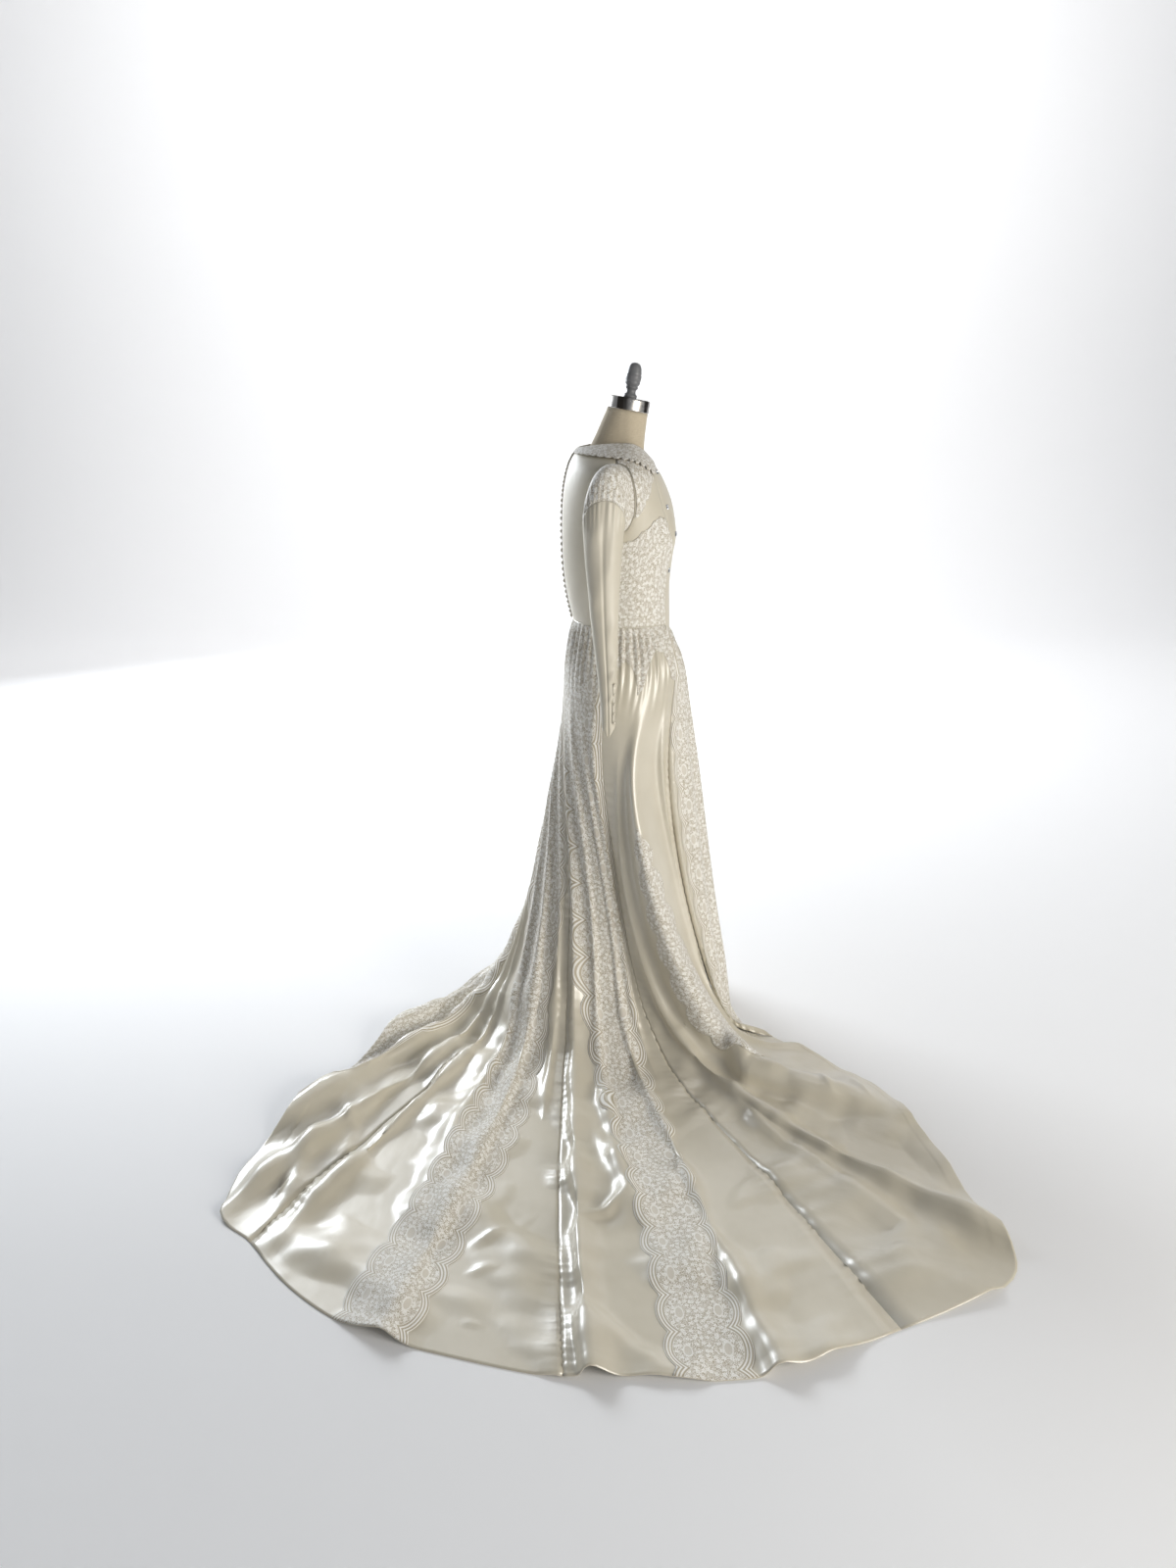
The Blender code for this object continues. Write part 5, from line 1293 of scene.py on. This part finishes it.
def gore_points(centre):
    """One gore's outer face as grids: shares of the waist, points, normals and cut places."""
    way = np.linspace(-0.5, 0.5, GORE_COLUMNS + 1)[None, :]
    share = centre + way * GORE_SHARE + 0 * LEVELS[:, None]
    points = shaped(skirt, share, LEVELS[:, None])
    out = grid_facing(points)
    cut = cloth_lengths(points)
    across = cut[:, :, 0]
    from_seam = np.minimum(np.abs(across - across[:, :1]), np.abs(across[:, -1:] - across))
    down = cut[:, :1, 1]
    below = ease((LEVELS[:, None] - BELOW_HIPS[0]) / BELOW_HIPS[1])
    lying = ease((LYING_LOOSE[0] - points[:, :, 2]) / LYING_LOOSE[1])
    loose = (HANGING_LOOSE + (1 - HANGING_LOOSE) * lying) * below
    rise = ripple_rise(points, loose)
    pucker = np.sin(2 * math.pi * down / PUCKER_PITCH + 2.5 * np.sin(down * 23.0))
    rise += PUCKER_HEIGHT * pucker * np.exp(-((from_seam / PUCKER_REACH) ** 2)) * below
    rise -= SEAM_SINK * np.exp(-((from_seam / SEAM_WIDTH) ** 2)) * below
    from_hem = cut[-1:, :, 1] - cut[:, :, 1]
    rise += HEM_STEP * (1 - ease((from_hem - HEM_DEEP) / HEM_EDGE))
    points = points + out * rise[:, :, None] + crease_shift(points)
    points[:, :, 2] = np.maximum(points[:, :, 2], SATIN_WALL + FLOOR_CLEAR)
    return share, points, grid_facing(points), cut


# The levels of the gores' rows are spaced evenly in metres down the longest part of the train.
fine = np.linspace(0.0, 8.0, 801)
run = skirt(np.full(801, 0.42), fine)
run_length = np.concatenate([[0.0], np.cumsum(np.linalg.norm(np.diff(run, axis=0), axis=1))])
LEVELS = np.interp(np.linspace(0.0, run_length[-1], GORE_ROWS + 1), run_length, fine)
gores = {}
for number, label in enumerate(GORE_NAMES):
    share, points, out, cut = gore_points(number * GORE_SHARE)
    gores[label] = share, points, out, cut
    gore = cloth_sheet("satin_gore_" + label, points, satin, thick=SATIN_WALL)
    declared(gore, "skirt_gore_" + label, "ivory_satin", GORE_CUTS[label], "hung", "centre_front_panel")


# The galloon bands: lace laid over each gore. At the hips it covers the gore from seam to seam
# and is gathered in with it, then it narrows to a band down the middle with a scalloped and
# fanned edge on both sides. On the right side gore a short hip piece and a lower band do this.
# Each band's edges: level, and how far its two sides lie from the gore's middle, as shares
BANDS = {
    "front": (
        (0.0, -0.1, 0.1), (1.9, -0.1, 0.1), (2.6, -0.092, 0.092), (3.4, -0.080, 0.080),
        (4.2, -0.076, 0.076), (5.0, -0.074, 0.074), (8.0, -0.072, 0.072),
    ),
    "right_side": (
        (3.6, -0.012, -0.010), (4.0, -0.018, -0.008), (4.5, -0.024, -0.005), (5.0, -0.030, -0.003),
        (5.5, -0.044, -0.001), (6.0, -0.056, -0.001), (6.25, -0.056, -0.004), (6.5, -0.040, -0.018),
    ),
    "right_back": (
        (0.0, -0.1, 0.1), (2.2, -0.1, 0.1), (4.5, -0.1, 0.085), (5.2, -0.072, 0.066), (5.7, -0.062, 0.046),
        (6.5, -0.042, 0.032), (7.2, -0.031, 0.026), (8.0, -0.021, 0.022),
    ),
    "left_back": (
        (0.0, -0.1, 0.1), (2.2, -0.1, 0.1), (4.2, -0.085, 0.085), (5.2, -0.057, 0.056), (5.7, -0.050, 0.036),
        (6.5, -0.046, 0.018), (7.2, -0.036, 0.014), (8.0, -0.024, 0.016),
    ),
    "left_side": (
        (0.0, -0.1, 0.1), (1.9, -0.1, 0.1), (3.3, -0.080, 0.080), (4.5, -0.062, 0.062), (5.5, -0.055, 0.055),
        (8.0, -0.045, 0.045),
    ),
}
# The lower edge of the hip lace where the band starts further down: share and level
HIP_LACE = (
    (0.100, 1.90), (0.118, 1.75), (0.130, 1.15), (0.160, 0.95), (0.182, 1.25), (0.203, 1.95), (0.213, 2.05),
    (0.226, 1.55), (0.250, 1.20), (0.276, 1.55), (0.300, 2.30),
)
HIP_LACE_ROWS = 40
BAND_COLUMNS = 40
BAND_TIP = 0.3
# A band without fans has its edge map set this far in from the border, past the fans.
BANDS_WITHOUT_FANS = ("right_side",)
PLAIN_EDGE = 0.4


def smooth_scallops(length):
    """Depth of the scallops at lengths along a band, in metres."""
    off = np.mod(length, SCALLOP_PITCH) - 0.5 * SCALLOP_PITCH
    return np.sqrt(FAN_RADIUS**2 - off**2) - (FAN_RADIUS - SCALLOP_DEEP)


def on_gore(label, share, level):
    """Points, normals and cut places of a gore's grid at any shares and levels in it."""
    shares, points, out, cut = gores[label]
    column = (share - shares[0, 0]) / (shares[0, 1] - shares[0, 0])
    column = np.clip(column, 0.0, GORE_COLUMNS - 1e-9)
    row = np.clip(np.interp(level, LEVELS, np.arange(GORE_ROWS + 1)), 0.0, GORE_ROWS - 1e-9)
    c, r = column.astype(int), row.astype(int)
    f, g = (column - c)[..., None], (row - r)[..., None]
    made = []
    for grid in (points, out, cut):
        upper = grid[r, c] * (1 - f) + grid[r, c + 1] * f
        lower = grid[r + 1, c] * (1 - f) + grid[r + 1, c + 1] * f
        made.append(upper * (1 - g) + lower * g)
    return made


def lace_piece(name, label, share, level, edge, sizes, replaced):
    """A lace sheet over part of a gore, raised off it, in place of the node replaced."""
    points, out, cut = on_gore(label, share, level)
    laid = points + unit(out) * LACE_LIFT
    band = cloth_sheet(name, laid, band_lace, thick=LACE_WALL, outward=1.0, cut=cut, edge=edge)
    declared(band, replaced, "ivory_lace", sizes, "laid", "satin_gore_" + label)


band_lace = lace_finish("galloon_lace", True)
for number, label in enumerate(GORE_NAMES):
    rows = np.array(BANDS[label])
    inside = (LEVELS >= rows[0, 0] - 1e-9) & (LEVELS <= rows[-1, 0] + 1e-9)
    level = LEVELS[inside]
    centre = number * GORE_SHARE
    low, high = (centre + np.interp(level, rows[:, 0], rows[:, side]) for side in (1, 2))
    cut = gores[label][3]
    cloth = ((cut[:, -1] - cut[:, 0])[:, 0] / GORE_SHARE)[inside]
    length = cut[inside, GORE_COLUMNS // 2, 1]
    length = length - length[0]
    deep = smooth_scallops(length)
    taper = ease((level - rows[0, 0]) / BAND_TIP) if rows[0, 0] else 1.0
    low = np.maximum(low - deep * taper / cloth, centre - 0.5 * GORE_SHARE)
    high = np.minimum(high + deep * taper / cloth, centre + 0.5 * GORE_SHARE)
    way = np.linspace(0.0, 1.0, BAND_COLUMNS + 1)[None, :]
    share = low[:, None] + (high - low)[:, None] * way
    wide = (cloth * (high - low))[:, None]
    inward = np.minimum(way, 1 - way) * wide - deep[:, None]
    if label in BANDS_WITHOUT_FANS:
        inward = inward + PLAIN_EDGE
    edge = np.stack([inward, length[:, None] + 0 * way], axis=2)
    level = level[:, None] + 0 * way
    replaced = "skirt_lace_" + label
    lace_piece("lace_band_" + label, label, share, level, edge, BAND_CUTS[label], replaced)

way = np.linspace(0.0, 1.0, GORE_COLUMNS + 1)[None, :]
up = np.linspace(0.0, 1.0, HIP_LACE_ROWS)[:, None]
share = GORE_SHARE * (0.5 + way) + 0 * up
level = np.interp(share, *zip(*HIP_LACE)) * up
edge = np.full(share.shape + (2,), PLAIN_EDGE)
lace_piece("lace_hip_right_side", "right_side", share, level, edge, HIP_CUT, "hip_lace_right_side")


# The waist seam: a narrow satin piping, a cord in a bias strip, is caught in between the
# bodice and the skirt all round, and dips with them to the point at the centre front.
PIPING_RADIUS = 0.0015
PIPING_DROP = 0.0005
PIPING_POINTS = 240
PIPING_SIDES = 8

ring_share = np.arange(PIPING_POINTS) / PIPING_POINTS
zero = np.zeros(PIPING_POINTS)
seam_line = bodice(ring_share, zero) - np.array([0.0, 0.0, PIPING_DROP])
seam_out = bodice_facing(ring_share, zero + 0.05)
bm = bmesh.new()
bm.loops.layers.uv.new("cut")
bmesh.ops.create_grid(bm, x_segments=PIPING_POINTS, y_segments=PIPING_SIDES, size=1.0)
for vert in bm.verts:
    column = round((vert.co.x + 1) / 2 * PIPING_POINTS) % PIPING_POINTS
    turn = (vert.co.y + 1) * math.pi
    off = Vector(seam_out[column]) * math.cos(turn) + Vector((0, 0, math.sin(turn)))
    vert.co = Vector(seam_line[column]) + PIPING_RADIUS * off
bmesh.ops.remove_doubles(bm, verts=bm.verts, dist=1e-6)
bmesh.ops.recalc_face_normals(bm, faces=bm.faces)
piping = kept(bm, "waist_piping", satin)


# The studio: a pale floor that curves up into a plain wall, a cool window-like light behind that
# the satin reflects, a soft warm one before the wearer, one for the wall, and a pale sky.
STUDIO_HALF = 9.0
STUDIO_BACK = 5.0
STUDIO_BEND = 2.5
STUDIO_TOP = 9.0
BEND_STEPS = 16
FLOOR_COLOUR = (0.90, 0.90, 0.905)
# Lights: where they stand, what they face, width, height and power in watts
LIGHTS = (
    ("window", (-2.6, 2.9, 2.2), (-0.35, -0.5, 0.1), 2.0, 1.5, 150.0, (0.90, 0.95, 1.0)),
    ("front", (3.0, -3.0, 1.5), (0.0, 0.0, 0.8), 2.0, 2.0, 118.0, (1.0, 0.965, 0.90)),
    ("wall", (0.0, 2.2, 5.5), (0.0, 6.5, 3.0), 5.0, 2.0, 400.0, (1.0, 1.0, 1.0)),
)
SKY_COLOUR = (0.92, 0.95, 1.0)
SKY_STRENGTH = 0.22
CAMERA_PLACE = (-0.085, -2.75, 1.50)
CAMERA_DOWN = math.radians(18.19)
CAMERA_LENS = 27.045
SENSOR = 36.0

bm = bmesh.new()
line = [(-STUDIO_HALF, 0.0)]
for step in range(BEND_STEPS + 1):
    turn = math.pi / 2 * step / BEND_STEPS
    line.append((STUDIO_BACK + STUDIO_BEND * math.sin(turn), STUDIO_BEND * (1 - math.cos(turn))))
line.append((STUDIO_BACK + STUDIO_BEND, STUDIO_TOP))
verts = [bm.verts.new((-STUDIO_HALF, y, z)) for y, z in line]
edges = [bm.edges.new(pair) for pair in zip(verts, verts[1:])]
swept = bmesh.ops.extrude_edge_only(bm, edges=edges)["geom"]
for item in swept:
    if isinstance(item, bmesh.types.BMVert):
        item.co.x = STUDIO_HALF
bmesh.ops.recalc_face_normals(bm, faces=bm.faces)
floor_mesh = bpy.data.meshes.new("studio_floor")
bm.to_mesh(floor_mesh)
bm.free()
floor_mesh.shade_smooth()
floor_mesh.materials.append(finish("studio_floor_paint", FLOOR_COLOUR, roughness=0.80)[0])
studio_floor = bpy.data.objects.new("studio_floor", floor_mesh)
bpy.context.scene.collection.objects.link(studio_floor)
studio_floor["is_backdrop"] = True

for name, at, towards, wide, tall, power, tint in LIGHTS:
    light = bpy.data.lights.new(name, "AREA")
    light.shape = "RECTANGLE"
    light.size = wide
    light.size_y = tall
    light.energy = power
    light.color = tint
    lamp = bpy.data.objects.new(name + "_light", light)
    lamp.location = at
    lamp.rotation_euler = (Vector(towards) - Vector(at)).to_track_quat("-Z", "Y").to_euler()
    bpy.context.scene.collection.objects.link(lamp)

sky = bpy.data.worlds.new("studio_sky")
sky.use_nodes = True
sky.node_tree.nodes["Background"].inputs["Color"].default_value = (*SKY_COLOUR, 1.0)
sky.node_tree.nodes["Background"].inputs["Strength"].default_value = SKY_STRENGTH
bpy.context.scene.world = sky
bpy.context.scene.view_settings.view_transform = "Standard"

lens = bpy.data.cameras.new("studio_camera")
lens.lens = CAMERA_LENS
lens.sensor_width = SENSOR
camera = bpy.data.objects.new("studio_camera", lens)
camera.location = CAMERA_PLACE
camera.rotation_euler = (0.5 * math.pi - CAMERA_DOWN, 0.0, 0.0)
bpy.context.scene.collection.objects.link(camera)
bpy.context.scene.camera = camera

boxes = {"cad": cad_box, "visual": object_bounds()}
boxes = {name: [list(map(float, corner)) for corner in box] for name, box in boxes.items()}
